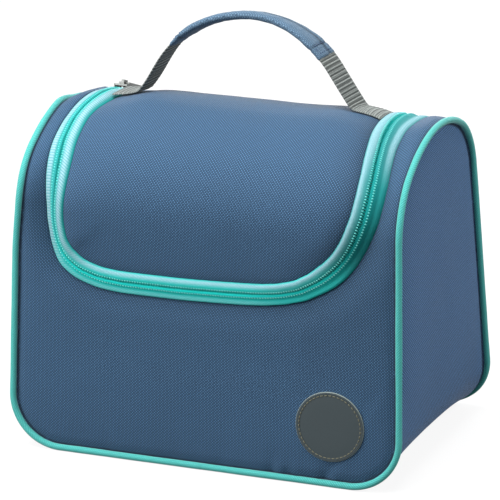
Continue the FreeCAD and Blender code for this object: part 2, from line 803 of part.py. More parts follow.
# Carrying handle: one strap of webbing over the lid, with a padded grip on its middle
def strap_sketch():
    """Middle line of the strap seen from the front."""
    sketch = doc.addObject("Sketcher::SketchObject", "strap_line")
    sketch.Placement = FreeCAD.Placement(V(0, size("apex_back"), 0), FRONT_PLANE)
    radius, bend = size("handle_radius"), size("bend_radius")
    slope = math.radians(size("leg_slope"))
    flat_height = size("bag_height") + size("web_thickness") / 2
    centre = V(0, size("handle_apex") - radius, 0)
    leg_top = centre + V(math.sin(slope), math.cos(slope), 0) * radius
    bend_low = V(0, flat_height + bend, 0)
    leg_end_height = bend_low.y - bend * math.cos(slope)
    run = (leg_top.y - leg_end_height) / math.tan(slope)
    leg_end = V(leg_top.x + run, leg_end_height, 0)
    bend_centre = leg_end + V(math.sin(slope), math.cos(slope), 0) * bend
    foot = V(bend_centre.x, flat_height, 0)
    tip = V(size("web_end"), flat_height, 0)
    top_turns = (math.pi / 2 - slope, math.pi / 2 + slope)
    top_circle = Part.Circle(centre, V(0, 0, 1), radius)
    top = sketch.addGeometry(Part.ArcOfCircle(top_circle, *top_turns))
    constrain(sketch, "Radius", top, radius, text="handle_radius")
    constrain(sketch, "DistanceX", top, 3, 0)
    constrain(sketch, "DistanceY", top, 3, centre.y, text="handle_apex - handle_radius")
    for side in (1, -1):
        leg_line = Part.LineSegment(mirrored(leg_top, side), mirrored(leg_end, side))
        leg = sketch.addGeometry(leg_line)
        circle = Part.Circle(mirrored(bend_centre, side), V(0, 0, 1), bend)
        low, high = 1.5 * math.pi - slope, 1.5 * math.pi
        turns = (low, high) if side > 0 else (high, 2 * high - low)
        arc = sketch.addGeometry(Part.ArcOfCircle(circle, *turns))
        end_line = Part.LineSegment(mirrored(foot, side), mirrored(tip, side))
        flat_end = sketch.addGeometry(end_line)
        constrain(sketch, "Tangent", top, 1 if side > 0 else 2, leg, 1)
        constrain(sketch, "Tangent", leg, 2, arc, 1 if side > 0 else 2)
        constrain(sketch, "Tangent", arc, 2 if side > 0 else 1, flat_end, 1)
        constrain(sketch, "Horizontal", flat_end)
        constrain(sketch, "Radius", arc, bend, text="bend_radius")
        turn = math.radians(-90) + side * (math.pi / 2 - slope)
        text = f"( -90 + {side} * ( 90 - leg_slope ) ) * 1 deg"
        constrain(sketch, "Angle", leg, turn, text=text)
        constrain(sketch, "DistanceX", flat_end, 2, side * tip.x, text=f"{side} * web_end")
        constrain(sketch, "DistanceY", flat_end, 2, tip.y, text="bag_height + web_thickness / 2")
    return sketch


def waist_sketch(name, ends, waist):
    """Plan of the grip's length, narrow in the middle; widths are numbers with their expressions."""
    sketch = doc.addObject("Sketcher::SketchObject", name)
    sketch.Placement = FreeCAD.Placement(V(0, size("apex_back"), 0), Rotation())
    reach, half, narrow = size("grip_half_length"), ends[0] / 2, waist[0] / 2
    arcs = {}
    for side in (1, -1):
        points = [V(-reach, side * half, 0), V(0, side * narrow, 0), V(reach, side * half, 0)]
        arcs[side] = sketch.addGeometry(Part.Arc(*points))
    start = {side: sketch.getPoint(arcs[side], 1).x for side in (1, -1)}
    gap = half - narrow
    rise = f"( ( {ends[1]} ) - ( {waist[1]} ) ) / 2"
    radius = f"( grip_half_length ^ 2 + ( {rise} ) ^ 2 ) / ( 2 * {rise} )"
    for side in (1, -1):
        first, last = (1, 2) if start[side] < 0 else (2, 1)
        text = f"{side} * ( {ends[1]} ) / 2"
        constrain(sketch, "DistanceX", arcs[side], first, -reach, text="-1 * grip_half_length")
        constrain(sketch, "DistanceX", arcs[side], last, reach, text="grip_half_length")
        constrain(sketch, "DistanceY", arcs[side], first, side * half, text=text)
        constrain(sketch, "DistanceY", arcs[side], last, side * half, text=text)
        constrain(sketch, "Radius", arcs[side], (reach**2 + gap**2) / (2 * gap), text=radius)
    for across in (-reach, reach):
        caps = sketch.addGeometry(Part.LineSegment(V(across, -half, 0), V(across, half, 0)))
        for point, side in ((1, -1), (2, 1)):
            end = 1 if (start[side] < 0) == (across < 0) else 2
            constrain(sketch, "Coincident", caps, point, arcs[side], end)
    return sketch


def leaned(item):
    """Tips a piece of the handle back about the axis of the dome's top."""
    tilt = Rotation(V(1, 0, 0), -size("handle_lean"))
    item.Placement = FreeCAD.Placement(V(), tilt, arch.top)
    return item


strap_line = strap_sketch()
strap_outline = offset("strap_outline", strap_line, "web_thickness / 2")
half_web = "web_width / 2"
strap_full = leaned(prism("strap_full", strap_outline, V(0, 1, 0), half_web, half_web))
grip_ends = (size("web_width") + 2 * size("grip_side"), "web_width + 2 * grip_side")
fold_waist = (size("grip_waist") - 2 * size("grip_side"), "grip_waist - 2 * grip_side")
grip_plan = waist_sketch("grip_plan", grip_ends, (size("grip_waist"), "grip_waist"))
strap_plan = waist_sketch("strap_plan", (size("web_width"), "web_width"), fold_waist)
over_handle = f"handle_apex + {ABOVE_DOME}"
grip_prism = prism("grip_prism", grip_plan, V(0, 0, 1), over_handle, "-1 * bag_height")
strap_prism = prism("strap_prism", strap_plan, V(0, 0, 1), over_handle, "-1 * bag_height")
grip_span = mirror_span("grip_half_length")
fold_space = slab("fold_space", grip_span, mirror_span("bag_depth"), ("bag_height", over_handle))
strap_sides = leaned(cut("strap_sides", fold_space, strap_prism))
strap = node(cut("strap", strap_full, strap_sides), "handle_webbing")


def grip_drum(name, radius):
    """A drum across the bag about the centre of the handle's arc."""
    drum = doc.addObject("Part::Cylinder", name)
    drum.Placement = FreeCAD.Placement(V(), Rotation(V(1, 0, 0), 90))
    bind(drum, Radius=radius, Height="2 * web_width", Placement__Base__y="apex_back + web_width")
    return bind(drum, Placement__Base__z="handle_apex - handle_radius")


outer_drum = grip_drum("outer_drum", "handle_radius + grip_thickness / 2")
inner_drum = grip_drum("inner_drum", "handle_radius - grip_thickness / 2")
grip_arch = cut("grip_arch", outer_drum, inner_drum)
grip_block = leaned(common("grip_block", grip_arch, grip_prism))
node(cut("grip", grip_block, strap), "handle_grip")

# Round patch sewn on the lower right of the front
badge = new_body("badge")
body_cylinder(badge, "disc", "badge_diameter / 2", "badge_thickness", ("0", "0", "0"), Rotation())
face_base = ("0", "0", "badge_thickness - badge_recess")
face_radius = "badge_diameter / 2 - badge_rim"
body_cylinder(badge, "face", face_radius, "badge_thickness", face_base, Rotation(), "Subtractive")
badge_place = arch.wall_foot(-1, size("badge_up")) + V(size("badge_right"), 0, 0)
badge.Placement = FreeCAD.Placement(badge_place, Rotation(V(1, 0, 0), 90 - size("front_lean")))
node(badge, "badge_patch")

doc.recompute()
for item in doc.Objects:
    if "Invalid" in item.State or "Error" in item.State:
        raise RuntimeError(f"{item.Name} failed: {item.State}")
for item in nodes:
    if item.Shape.isNull() or not item.Shape.isValid() or not item.Shape.Solids:
        raise RuntimeError(f"{item.Label} has no valid solid")

os.makedirs("parts", exist_ok=True)
for item in nodes:
    item.Shape.exportStep(f"parts/{item.Label}.step")

hinge_angle = arch.top_angle(size("hinge_back"))
hinge = arch.on_circle(arch.top, arch.top_radius + size("hinge_rise"), hinge_angle)
print(f"lid hinge axis y {hinge.y:.3f} z {hinge.z:.3f}")
print(f"slider axis y {arch.top.y:.3f} z {arch.top.z:.3f}, parked at {slider_angle:.2f} degrees")
print(f"pull axis y {pin_point.y:.3f} z {pin_point.z:.3f}")
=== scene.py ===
"""Insulated lunch bag with a U-shaped zipper lid, corded edges and a carrying handle."""

import logging
import math
from dataclasses import dataclass, field
from enum import Enum
from typing import Callable, Iterable, Sequence

import bpy
import numpy as np
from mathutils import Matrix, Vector, noise
from mathutils.geometry import delaunay_2d_cdt
from mathutils.kdtree import KDTree

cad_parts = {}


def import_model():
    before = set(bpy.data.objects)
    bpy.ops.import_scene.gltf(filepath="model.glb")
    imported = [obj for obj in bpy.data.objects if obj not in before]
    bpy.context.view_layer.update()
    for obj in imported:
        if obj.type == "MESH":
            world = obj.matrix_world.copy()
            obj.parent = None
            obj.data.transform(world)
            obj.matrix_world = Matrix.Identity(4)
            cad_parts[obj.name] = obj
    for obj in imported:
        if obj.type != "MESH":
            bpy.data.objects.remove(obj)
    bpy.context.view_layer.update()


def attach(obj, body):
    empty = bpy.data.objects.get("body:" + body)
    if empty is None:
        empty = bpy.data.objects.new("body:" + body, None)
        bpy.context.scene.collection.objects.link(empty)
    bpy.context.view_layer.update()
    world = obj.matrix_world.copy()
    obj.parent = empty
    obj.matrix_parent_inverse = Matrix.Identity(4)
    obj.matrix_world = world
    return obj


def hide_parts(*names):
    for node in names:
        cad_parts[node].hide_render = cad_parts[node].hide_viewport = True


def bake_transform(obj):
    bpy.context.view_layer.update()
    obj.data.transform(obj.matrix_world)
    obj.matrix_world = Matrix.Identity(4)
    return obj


LOG = logging.getLogger("lunch_bag")
MM = 0.001
WELD_GAP = 0.00002

Array = np.ndarray
Piece = bpy.types.Object
Material = bpy.types.Material
NodeTree = bpy.types.NodeTree
Socket = bpy.types.NodeSocket
Mesh = tuple[Array, list]
Point2 = tuple[float, float]
Point3 = tuple[float, float, float]
Pairs = tuple[Point2, ...]
Line2 = list[Point2]
Face = tuple[int, ...]


class Part(Enum):
    """The bodies that pieces ride on."""

    BAG = "bag"
    LID = "lid"
    HANDLE = "handle"


# Lines and soft steps


def smooth(share: Array) -> Array:
    """A share from 0 to 1 with soft ends."""
    share = np.clip(share, 0, 1)
    return share * share * (3 - 2 * share)


def ease(value: Array, start: float, over: float) -> Array:
    """A soft share that rises from 0 at a start to 1 after a distance."""
    return smooth((value - start) / over)


def risen(gap: Array, reach: float) -> Array:
    """A share that rises from 0 at a seam towards 1 away from it."""
    return 1 - np.exp(-gap / reach)


def bell(value: Array, width: float) -> Array:
    """A share that falls from 1 at zero on both sides."""
    return np.exp(-((value / width) ** 2))


def unit(turn: float) -> Array:
    """Unit vector at an angle."""
    return np.array([math.cos(turn), math.sin(turn)])


def normed(vectors: Array) -> Array:
    """The vectors at a length of one."""
    return vectors / np.linalg.norm(vectors, axis=-1, keepdims=True)


def run_lengths(line: Array) -> Array:
    """Distance of each point of a line from its start."""
    steps = np.linalg.norm(np.diff(line, axis=0), axis=1)
    return np.concatenate([[0.0], np.cumsum(steps)])


def sampled(at: Array, lengths: Array, values: Array) -> Array:
    """Values at distances along a line, from rows of values at its known lengths."""
    return np.stack([np.interp(at, lengths, column) for column in values.T], axis=-1)


def point_tree(points: Iterable[Point2]) -> KDTree:
    """A search tree of flat points.

    Args:
        points: The points.

    Returns:
        The tree.
    """
    samples = list(points)
    tree = KDTree(len(samples))
    for index, (across, along) in enumerate(samples):
        tree.insert((across, along, 0.0), index)
    tree.balance()
    return tree


# Outline of the bag


@dataclass(frozen=True)
class Arch:
    """Side outline of the bag: a front wall, a dome of three arcs and a back wall."""

    STEP = 0.0005
    depth: float = 0.167
    height: float = 0.2052
    apex_back: float = -0.0075
    top_radius: float = 0.0902969
    front_radius: float = 0.04509
    back_radius: float = 0.0414995
    front_lean: float = math.radians(1.71)
    back_lean: float = math.radians(10.18)

    @property
    def top(self) -> Array:
        """Centre of the top arc."""
        return np.array([self.apex_back, self.height - self.top_radius])

    def shoulder(self, side: int) -> Array:
        """Centre of the arc that touches a wall and the top arc.

        Args:
            side: -1 for the front and 1 for the back.

        Returns:
            The centre as Y and Z.
        """
        is_front = side < 0
        lean = self.front_lean if is_front else self.back_lean
        radius = self.front_radius if is_front else self.back_radius
        along = np.array([-side * math.sin(lean), math.cos(lean)])
        inward = np.array([-side * math.cos(lean), -math.sin(lean)])
        start = np.array([side * self.depth / 2, 0.0]) + inward * radius
        gap = start - self.top
        half = float(gap @ along)
        rest = float(gap @ gap) - (self.top_radius - radius) ** 2
        return start + along * (-half + math.sqrt(half**2 - rest))

    def table(self) -> "ProfileTable":
        """Samples the outline by its length.

        Returns:
            The table of samples.
        """
        centres = (self.shoulder(-1), self.top, self.shoulder(1))
        radii = (self.front_radius, self.top_radius, self.back_radius)
        joins = [math.atan2(*(centre - self.top)[::-1]) for centre in centres[::2]]
        turns = (math.pi - self.front_lean, *joins, self.back_lean)
        feet = [np.array([side * self.depth / 2, 0.0]) for side in (-1, 1)]
        places, outwards = self.wall(feet[0], centres[0] + radii[0] * unit(turns[0]))
        for centre, radius, start, end in zip(centres, radii, turns, turns[1:]):
            count = max(2, int(abs(end - start) * radius / self.STEP))
            ways = [unit(turn) for turn in np.linspace(start, end, count, endpoint=False)]
            places += [centre + radius * way for way in ways]
            outwards += ways
        back_places, back_outwards = self.wall(centres[2] + radii[2] * unit(turns[3]), feet[1])
        places += [*back_places, feet[1]]
        outwards += [*back_outwards, back_outwards[-1]]
        return ProfileTable(np.array(places), np.array(outwards))

    def wall(self, first: Array, last: Array) -> tuple[list, list]:
        """Samples of a straight wall up to its end, and their outward normals.

        Args:
            first: Where the wall starts.
            last: Where it ends.

        Returns:
            Places and normals.
        """
        length = np.linalg.norm(last - first)
        along = (last - first) / length
        shares = np.linspace(0, 1, max(2, int(length / self.STEP)), endpoint=False)
        normal = np.array([-along[1], along[0]])
        return [first + (last - first) * share for share in shares], [normal] * len(shares)


class ProfileTable:
    """The side outline by distance from the front foot."""

    DOME_BACK = 0.09

    def __init__(self, places: Array, outwards: Array) -> None:
        """Keeps the samples and their distances.

        Args:
            places: Y and Z of each sample.
            outwards: Outward normal of each sample.
        """
        self.lengths = run_lengths(places)
        self.places = places
        self.outwards = outwards
        self.total = float(self.lengths[-1])
        self.top = int(np.argmax(places[:, 1]))
        self.crest = float(self.lengths[self.top])
        self.last = int(np.argmax(self.lengths > self.crest + self.DOME_BACK))

    def at(self, along: Array) -> tuple[Array, Array]:
        """Y and Z, and outward normals, at distances along the outline."""
        place = sampled(along, self.lengths, self.places)
        return place, normed(sampled(along, self.lengths, self.outwards))

    def along_top(self, back: float) -> float:
        """Distance along the outline at which the dome passes a Y."""
        return float(np.interp(back, self.places[: self.last, 0], self.lengths[: self.last]))

    def along_wall(self, height: float, side: int) -> float:
        """Distance at which the front wall, side -1, or the back wall, side 1, passes a height."""
        part = slice(self.top) if side < 0 else slice(self.top, None)
        return float(np.interp(-side * height, -side * self.places[part, 1], self.lengths[part]))


@dataclass(frozen=True)
class Tub:
    """Front outline: a level floor, two round corners and two leaning sides."""

    half: float
    floor: float
    corner: float
    lean: float

    @property
    def spread(self) -> float:
        """Length of floor and of side that a corner takes up."""
        return self.corner * math.tan(math.pi / 4 + self.lean / 2)

    @property
    def level(self) -> float:
        """Half of the floor between the corners."""
        return self.half - self.spread

    @property
    def sweep(self) -> float:
        """Angle through which a corner turns."""
        return math.pi / 2 + self.lean

    def corner_at(self, turn: float) -> Point2:
        """X and Z on the right corner at a turn from the floor."""
        across = self.level + self.corner * math.sin(turn)
        return across, self.floor + self.corner * (1 - math.cos(turn))

    def across(self, height: Array) -> Array:
        """Half width of the leaning sides at a height."""
        return self.half - (height - self.floor) * math.tan(self.lean)

    def grown(self, by: float) -> "Tub":
        """The same outline moved outwards by a distance."""
        half = self.half + by / math.cos(self.lean) + by * math.tan(self.lean)
        return Tub(half, self.floor - by, self.corner + by, self.lean)

    def lower(self, step: float) -> Line2:
        """Right half of the floor and its corner.

        Args:
            step: Distance between samples.

        Returns:
            X and Z of each sample.
        """
        count = max(2, int(self.level / step))
        found = [(self.level * i / count, self.floor) for i in range(count)]
        count = max(4, int(self.sweep * self.corner / step))
        return found + [self.corner_at(self.sweep * i / count) for i in range(count + 1)]


@dataclass(frozen=True)
class BagShape:
    """Sizes that the cloth, the zipper and the corded edge share."""

    arch: Arch = Arch()
    body: Tub = Tub(0.1236, 0.0, 0.031, math.radians(1.2))
    zipper: Tub = Tub(0.0982, 0.112, 0.040, math.radians(1.9))
    hinge_back: float = 0.014
    fold_half: float = 0.004
    zip_end: float = 0.036
    band: float = 0.0085
    channel: float = 0.0054
    wall: float = 0.0063


SHAPE = BagShape()
PROFILE = SHAPE.arch.table()
FOLD_END = PROFILE.along_top(SHAPE.hinge_back + SHAPE.fold_half)
ZIP_END = PROFILE.along_top(SHAPE.zip_end)


@dataclass(frozen=True)
class Slump:
    """How the upper corners of the soft bag have sunk.

    The first fields are soft steps: a start and the distance over which they rise.
    """

    left_side: Point2 = (0.104, 0.020)
    high: Point2 = (0.160, 0.040)
    upper: Point2 = (0.120, 0.050)
    behind: Point2 = (-0.025, 0.030)
    strip_side: Point2 = (0.040, 0.050)
    strip_end: Point2 = (0.008, 0.016)
    right_start: Point2 = (0.080, 0.025)
    right_end: Point2 = (0.112, 0.012)
    right_behind: Point2 = (-0.045, 0.030)
    strip_fade: float = 0.7
    left_drop: float = 0.0045
    left_back_drop: float = 0.0045
    left_shift: float = 0.0022
    right_lift: float = 0.0018
    strip_drop: float = 0.0016

    def settled(self, points: Array) -> Array:
        """Moves points of the cloth to where they have sunk.

        Args:
            points: Points in space.

        Returns:
            The moved points.
        """
        across, back, up = points.T
        left = ease(-across, *self.left_side)
        behind = ease(back, *self.behind)
        strip = ease(-across, *self.strip_side) * (1 - left) * behind
        strip *= 1 - self.strip_fade * ease(back, *self.strip_end)
        right = ease(across, *self.right_start) * (1 - ease(across, *self.right_end))
        right *= ease(back, *self.right_behind)
        sunk = (self.left_drop + self.left_back_drop * behind) * left + self.strip_drop * strip
        moved = points.copy()
        moved[:, 0] += self.left_shift * left * ease(up, *self.upper)
        moved[:, 2] -= ease(up, *self.high) * (sunk - self.right_lift * right)
        return moved


SLUMP = Slump()


def wrap_points(flat: Array, rise: Array | float = 0.0) -> Array:
    """Lays flat cloth over the front, the dome and the back.

    Args:
        flat: X and distance along the side outline of each point.
        rise: Height of each point above the outline.

    Returns:
        The points in space.
    """
    flat = DRAPE.moved(flat)
    place, outward = PROFILE.at(flat[:, 1])
    place = place + outward * np.broadcast_to(rise, len(flat))[:, None]
    return SLUMP.settled(np.column_stack([flat[:, 0], place]))


ZIP_COUNTS = (30, 34, 96)
FOLD_GAP = 0.0005


def leg_line(tub: Tub, start: float, end: float, shares: Iterable[float]) -> Line2:
    """Points at shares of a leaning side of an outline that is laid over the bag."""
    alongs = start + (end - start) * np.array(list(shares))
    return list(zip(tub.across(PROFILE.at(alongs)[0][:, 1]).tolist(), alongs.tolist()))


def zip_line(offset: float, end: float, start: float = 0.0) -> Line2:
    """Right half of a line that runs beside the zipper, with the same samples at every offset.

    Args:
        offset: Distance from the zipper's middle, positive on the lid.
        end: Distance along the outline at which the line stops.
        start: Distance along the outline before which samples are left out.

    Returns:
        X and distance along the outline, from mid front to the end.
    """
    tub = SHAPE.zipper.grown(-offset)
    level_count, corner_count, leg_count = ZIP_COUNTS
    line = [(tub.level * i / level_count, tub.floor) for i in range(level_count)]
    line += [tub.corner_at(tub.sweep * i / corner_count) for i in range(corner_count)]
    line = [(x, PROFILE.along_wall(z, -1)) for x, z in line]
    leg_foot = PROFILE.along_wall(tub.corner_at(tub.sweep)[1], -1)
    line += leg_line(tub, leg_foot, end, (i / leg_count for i in range(leg_count + 1)))
    return [point for point in line if point[1] >= start]


def edge_line(out: float, low: float, step: float) -> Line2:
    """Right half of the outer edge of the wrap, from mid front over the dome to mid back.

    Args:
        out: Distance that the edge stands outside the body's side.
        low: Height of the edge above the floor.
        step: Distance between samples.

    Returns:
        X and distance along the outline.
    """
    tub = Tub(SHAPE.body.half + out, low, SHAPE.body.corner, SHAPE.body.lean)
    front = [(x, PROFILE.along_wall(z, -1)) for x, z in tub.lower(step)]
    back = [(x, PROFILE.along_wall(z, 1)) for x, z in tub.lower(step)][::-1]
    start, end = front[-1][1], back[0][1]
    count = int((end - start) / step)
    return front + leg_line(tub, start, end, (i / count for i in range(1, count))) + back


def mirrored(line: Line2) -> Line2:
    """The same line on the left."""
    return [(-x, along) for x, along in line]


def both_sides(half: Line2) -> Line2:
    """A line that starts in the middle, with its mirror image before it."""
    return mirrored(half)[::-1] + half[1:]


def before_fold(offset: float) -> Line2:
    """Right half of a line beside the zipper, up to the fold."""
    return [point for point in zip_line(offset, ZIP_END) if point[1] < FOLD_END - FOLD_GAP]


def fold_line(offset: float, count: int) -> Line2:
    """Points across the fold from right to left, between lines beside the zipper's legs."""
    half = zip_line(offset, ZIP_END, FOLD_END)[0][0]
    return [(half * (1 - 2 * i / count), FOLD_END) for i in range(count + 1)]


def lid_opening(width: float, count: int) -> Line2:
    """Loop round the opening for the lid, a width outside the zipper's middle."""
    half = zip_line(-width, ZIP_END) + zip_line(width, ZIP_END, FOLD_END)[::-1]
    return half + fold_line(width, count) + mirrored(half)[::-1]


def lid_outline(width: float, count: int) -> Line2:
    """Loop round the lid, a width inside the zipper's middle."""
    side = before_fold(width)
    return side + fold_line(width, count) + mirrored(side)[::-1]


class Drape:
    """How the full bag differs from its pattern: the zipper's route strays and the lid bulges.

    Routes are X and distance along the outline in millimetres. A step is a start and the
    distance over which it rises.
    """

    RIGHT_ROUTE = (
        (0.0, 111.2), (10.2, 111.6), (22.9, 112.2), (35.6, 113.1), (48.2, 114.9),
        (60.8, 118.4), (73.2, 125.5), (81.5, 132.3), (88.5, 140.4), (95.2, 152.4),
        (99.6, 165.0), (101.0, 177.1), (100.7, 190.1), (98.6, 205.0), (96.2, 222.0),
    )
    LEFT_ROUTE = (
        (0.0, 111.2), (-15.4, 110.7), (-41.2, 110.6), (-54.2, 110.7), (-67.2, 111.9),
        (-80.3, 115.8), (-89.4, 122.6), (-94.4, 132.0), (-96.9, 143.8), (-97.3, 156.0),
        (-97.4, 168.2), (-97.8, 181.0), (-98.8, 195.0), (-98.6, 212.0), (-97.2, 226.0),
    )
    MERGE = 0.240
    PLATEAU = 0.0115
    FADE = 0.042
    EDGE_FADE = 0.014
    STEP = 0.0006
    FRONT_TILT = math.radians(18)
    FRONT_SQUEEZE = 0.225
    LEG_TILT = math.radians(19)
    TOP_TILT = math.radians(17)
    CORNER_TILT = math.radians(13)
    LEFT_EASE = math.radians(20)
    RIDGE = 0.0006
    OFF_CENTRE = 0.0011
    BLUR = 12
    LEG_STEP = (0.112, 0.025)
    CORNER_STEP = (0.02, 0.045)
    LEFT_STEP = (0.150, 0.035)
    CREST_BACKS = (-0.045, -0.010, 0.012, 0.024)
    LOW_SHARE = 0.42
    OUTSIDE_FADE = 0.015
    CROWN_REACH = 0.030
    DOME_FRONT = (0.125, 0.190)
    DOME_BACKS = (-0.03, -0.014, 0.014, 0.034)
    DOME_HEIGHTS = (0.0045, 0.0064, 0.0070, 0.0051, 0.0015, 0.0)

    def __init__(self) -> None:
        """Lays out the pattern's route and the route as it hangs."""
        right = self.resampled(np.array(zip_line(0.0, ZIP_END)))
        left = right * np.array([-1, 1])
        hung_left = self.hang(left, np.array(self.LEFT_ROUTE) * MM)
        hung_right = self.hang(right, np.array(self.RIGHT_ROUTE) * MM)
        self.sewn = np.concatenate([left[:0:-1], right])
        self.hung = np.concatenate([hung_left[:0:-1], hung_right])
        self.sewn_way, self.hung_way = self.lid_way(self.sewn), self.lid_way(self.hung)
        self.tree = point_tree(self.sewn)

    def resampled(self, line: Array) -> Array:
        """A line with even samples."""
        lengths = run_lengths(line)
        return sampled(np.arange(0, lengths[-1], self.STEP), lengths, line)

    def hang(self, line: Array, route: Array) -> Array:
        """The hung place of each sample of half the sewn route.

        Args:
            line: Even samples from mid front to the end.
            route: The hung route from mid front to the dome.

        Returns:
            The hung place of each sample.
        """
        keep = int(np.argmax(line[:, 1] > self.MERGE))
        corners = np.concatenate([route, line[keep : keep + 1]])
        lengths = run_lengths(corners)
        hung = sampled(np.linspace(0, lengths[-1], keep + 1), lengths, corners)
        whole = np.concatenate([hung, line[keep + 1 :]])
        spread = self.BLUR
        before = whole[spread:0:-1] * [-1, 1]
        padded = np.concatenate([before, whole, whole[-1:].repeat(spread, axis=0)])
        weights = np.hanning(2 * spread + 3)[1:-1]
        weights /= weights.sum()
        soft = np.stack([np.convolve(column, weights, mode="valid") for column in padded.T], axis=1)
        soft[-spread:] = whole[-spread:]
        return soft

    @staticmethod
    def lid_way(line: Array) -> Array:
        """Direction towards the lid beside a line that runs from left to right."""
        along = normed(np.gradient(line, axis=0))
        return np.stack([-along[:, 1], along[:, 0]], axis=1)

    def beside(self, flat: Array) -> tuple[Array, Array]:
        """Nearest sample of the sewn route and the distance from it, positive on the lid."""
        index = np.array([self.tree.find((p[0], p[1], 0.0))[1] for p in flat])
        return index, np.einsum("ij,ij->i", flat - self.sewn[index], self.sewn_way[index])

    def tilt(self, route: Array) -> tuple[Array, Array]:
        """How far the band is tipped towards the outside.

        Args:
            route: Places on the sewn route.

        Returns:
            The angle, and a share that falls from 1 to 0 behind the dome's crest.
        """
        across, along = route.T
        crest = [PROFILE.along_top(y) for y in self.CREST_BACKS]
        leg = ease(along, *self.LEG_STEP)
        over = ease(along, crest[0], crest[1] - crest[0])
        last = np.where(across > 0, crest[3], crest[2])
        stands = 1 - ease(along, crest[1], last - crest[1])
        corner = ease(across, *self.CORNER_STEP) * (1 - leg)
        eased = self.LEFT_EASE * ease(along, *self.LEFT_STEP) * (across < 0)
        angle = self.FRONT_TILT + self.LEG_TILT * leg + self.CORNER_TILT * corner
        angle = angle - self.TOP_TILT * over - eased
        return angle * stands, stands

    def moved(self, flat: Array) -> Array:
        """Flat points of the pattern where they hang on the bag.

        Args:
            flat: X and distance along the side outline in the pattern.

        Returns:
            X and distance along the side outline on the bag.
        """
        index, gap = self.beside(flat)
        shift = self.hung[index] - self.sewn[index]
        shift += (self.hung_way[index] - self.sewn_way[index]) * gap[:, None]
        angle, stands = self.tilt(self.sewn[index])
        within = np.clip(gap, -SHAPE.band, SHAPE.band)
        front = 1 - ease(self.sewn[index][:, 1], *self.LEG_STEP)
        squeeze = np.maximum(1 - np.cos(angle), self.FRONT_SQUEEZE * front * stands)
        inward = self.OFF_CENTRE * (1 - (within / SHAPE.band) ** 2) - within * squeeze
        shift += self.hung_way[index] * inward[:, None]
        far = np.linalg.norm(flat - self.sewn[index], axis=1)
        weight = 1 - ease(far, self.PLATEAU, self.FADE - self.PLATEAU)
        place, _ = PROFILE.at(flat[:, 1])
        side_gap = SHAPE.body.across(place[:, 1]) - np.abs(flat[:, 0])
        weight *= smooth(side_gap / self.EDGE_FADE)
        return flat + shift * weight[:, None]

    def puff(self, flat: Array) -> Array:
        """How far the zipper's band and the lid stand above the outline.

        Args:
            flat: X and distance along the side outline in the pattern.

        Returns:
            The height of each point.
        """
        index, gap = self.beside(flat)
        angle, stands = self.tilt(self.sewn[index])
        step = 2 * SHAPE.band * np.sin(angle)
        low, high = self.LOW_SHARE * step, (1 - self.LOW_SHARE) * step
        share = gap / SHAPE.band
        level = (high - low) / 2 + step / 2 * share + self.RIDGE * stands * (1 - share**2)
        outside = -low * (1 - ease(-gap, SHAPE.band, self.OUTSIDE_FADE))
        dome_alongs = [*self.DOME_FRONT, *(PROFILE.along_top(y) for y in self.DOME_BACKS)]
        dome = np.interp(flat[:, 1], dome_alongs, self.DOME_HEIGHTS)
        crown = high + (dome - high) * ease(gap, SHAPE.band, self.CROWN_REACH)
        return np.where(gap < -SHAPE.band, outside, np.where(gap > SHAPE.band, crown, level))


DRAPE = Drape()


# Mesh tools


def tidy_loop(loop: Iterable[Point2], least: float = 0.0002) -> Line2:
    """A closed loop without repeated points.

    Args:
        loop: Points in order.
        least: Smallest distance that is kept between neighbours.

    Returns:
        The cleaned loop.
    """
    kept: Line2 = []
    for point in loop:
        if not kept or math.dist(point, kept[-1]) > least:
            kept.append(point)
    if math.dist(kept[0], kept[-1]) < least:
        kept.pop()
    return kept


def inside(points: Array, loops: Sequence[Line2]) -> Array:
    """Tells which points lie inside an odd number of loops.

    Args:
        points: Flat points.
        loops: Closed loops.

    Returns:
        True for each point that lies inside.
    """
    odd = np.zeros(len(points), bool)
    for loop in loops:
        corners = np.array(loop)
        for first, last in zip(corners, np.roll(corners, -1, axis=0)):
            crosses = (first[1] > points[:, 1]) != (last[1] > points[:, 1])
            slope = (last[0] - first[0]) / ((last[1] - first[1]) or 1e-12)
            odd ^= crosses & (points[:, 0] < first[0] + (points[:, 1] - first[1]) * slope)
    return odd


def nearest(points: Array, line: Iterable[Point2]) -> Array:
    """Distance from each point to the nearest sample of a line."""
    tree = point_tree(line)
    return np.array([tree.find((p[0], p[1], 0.0))[2] for p in points])


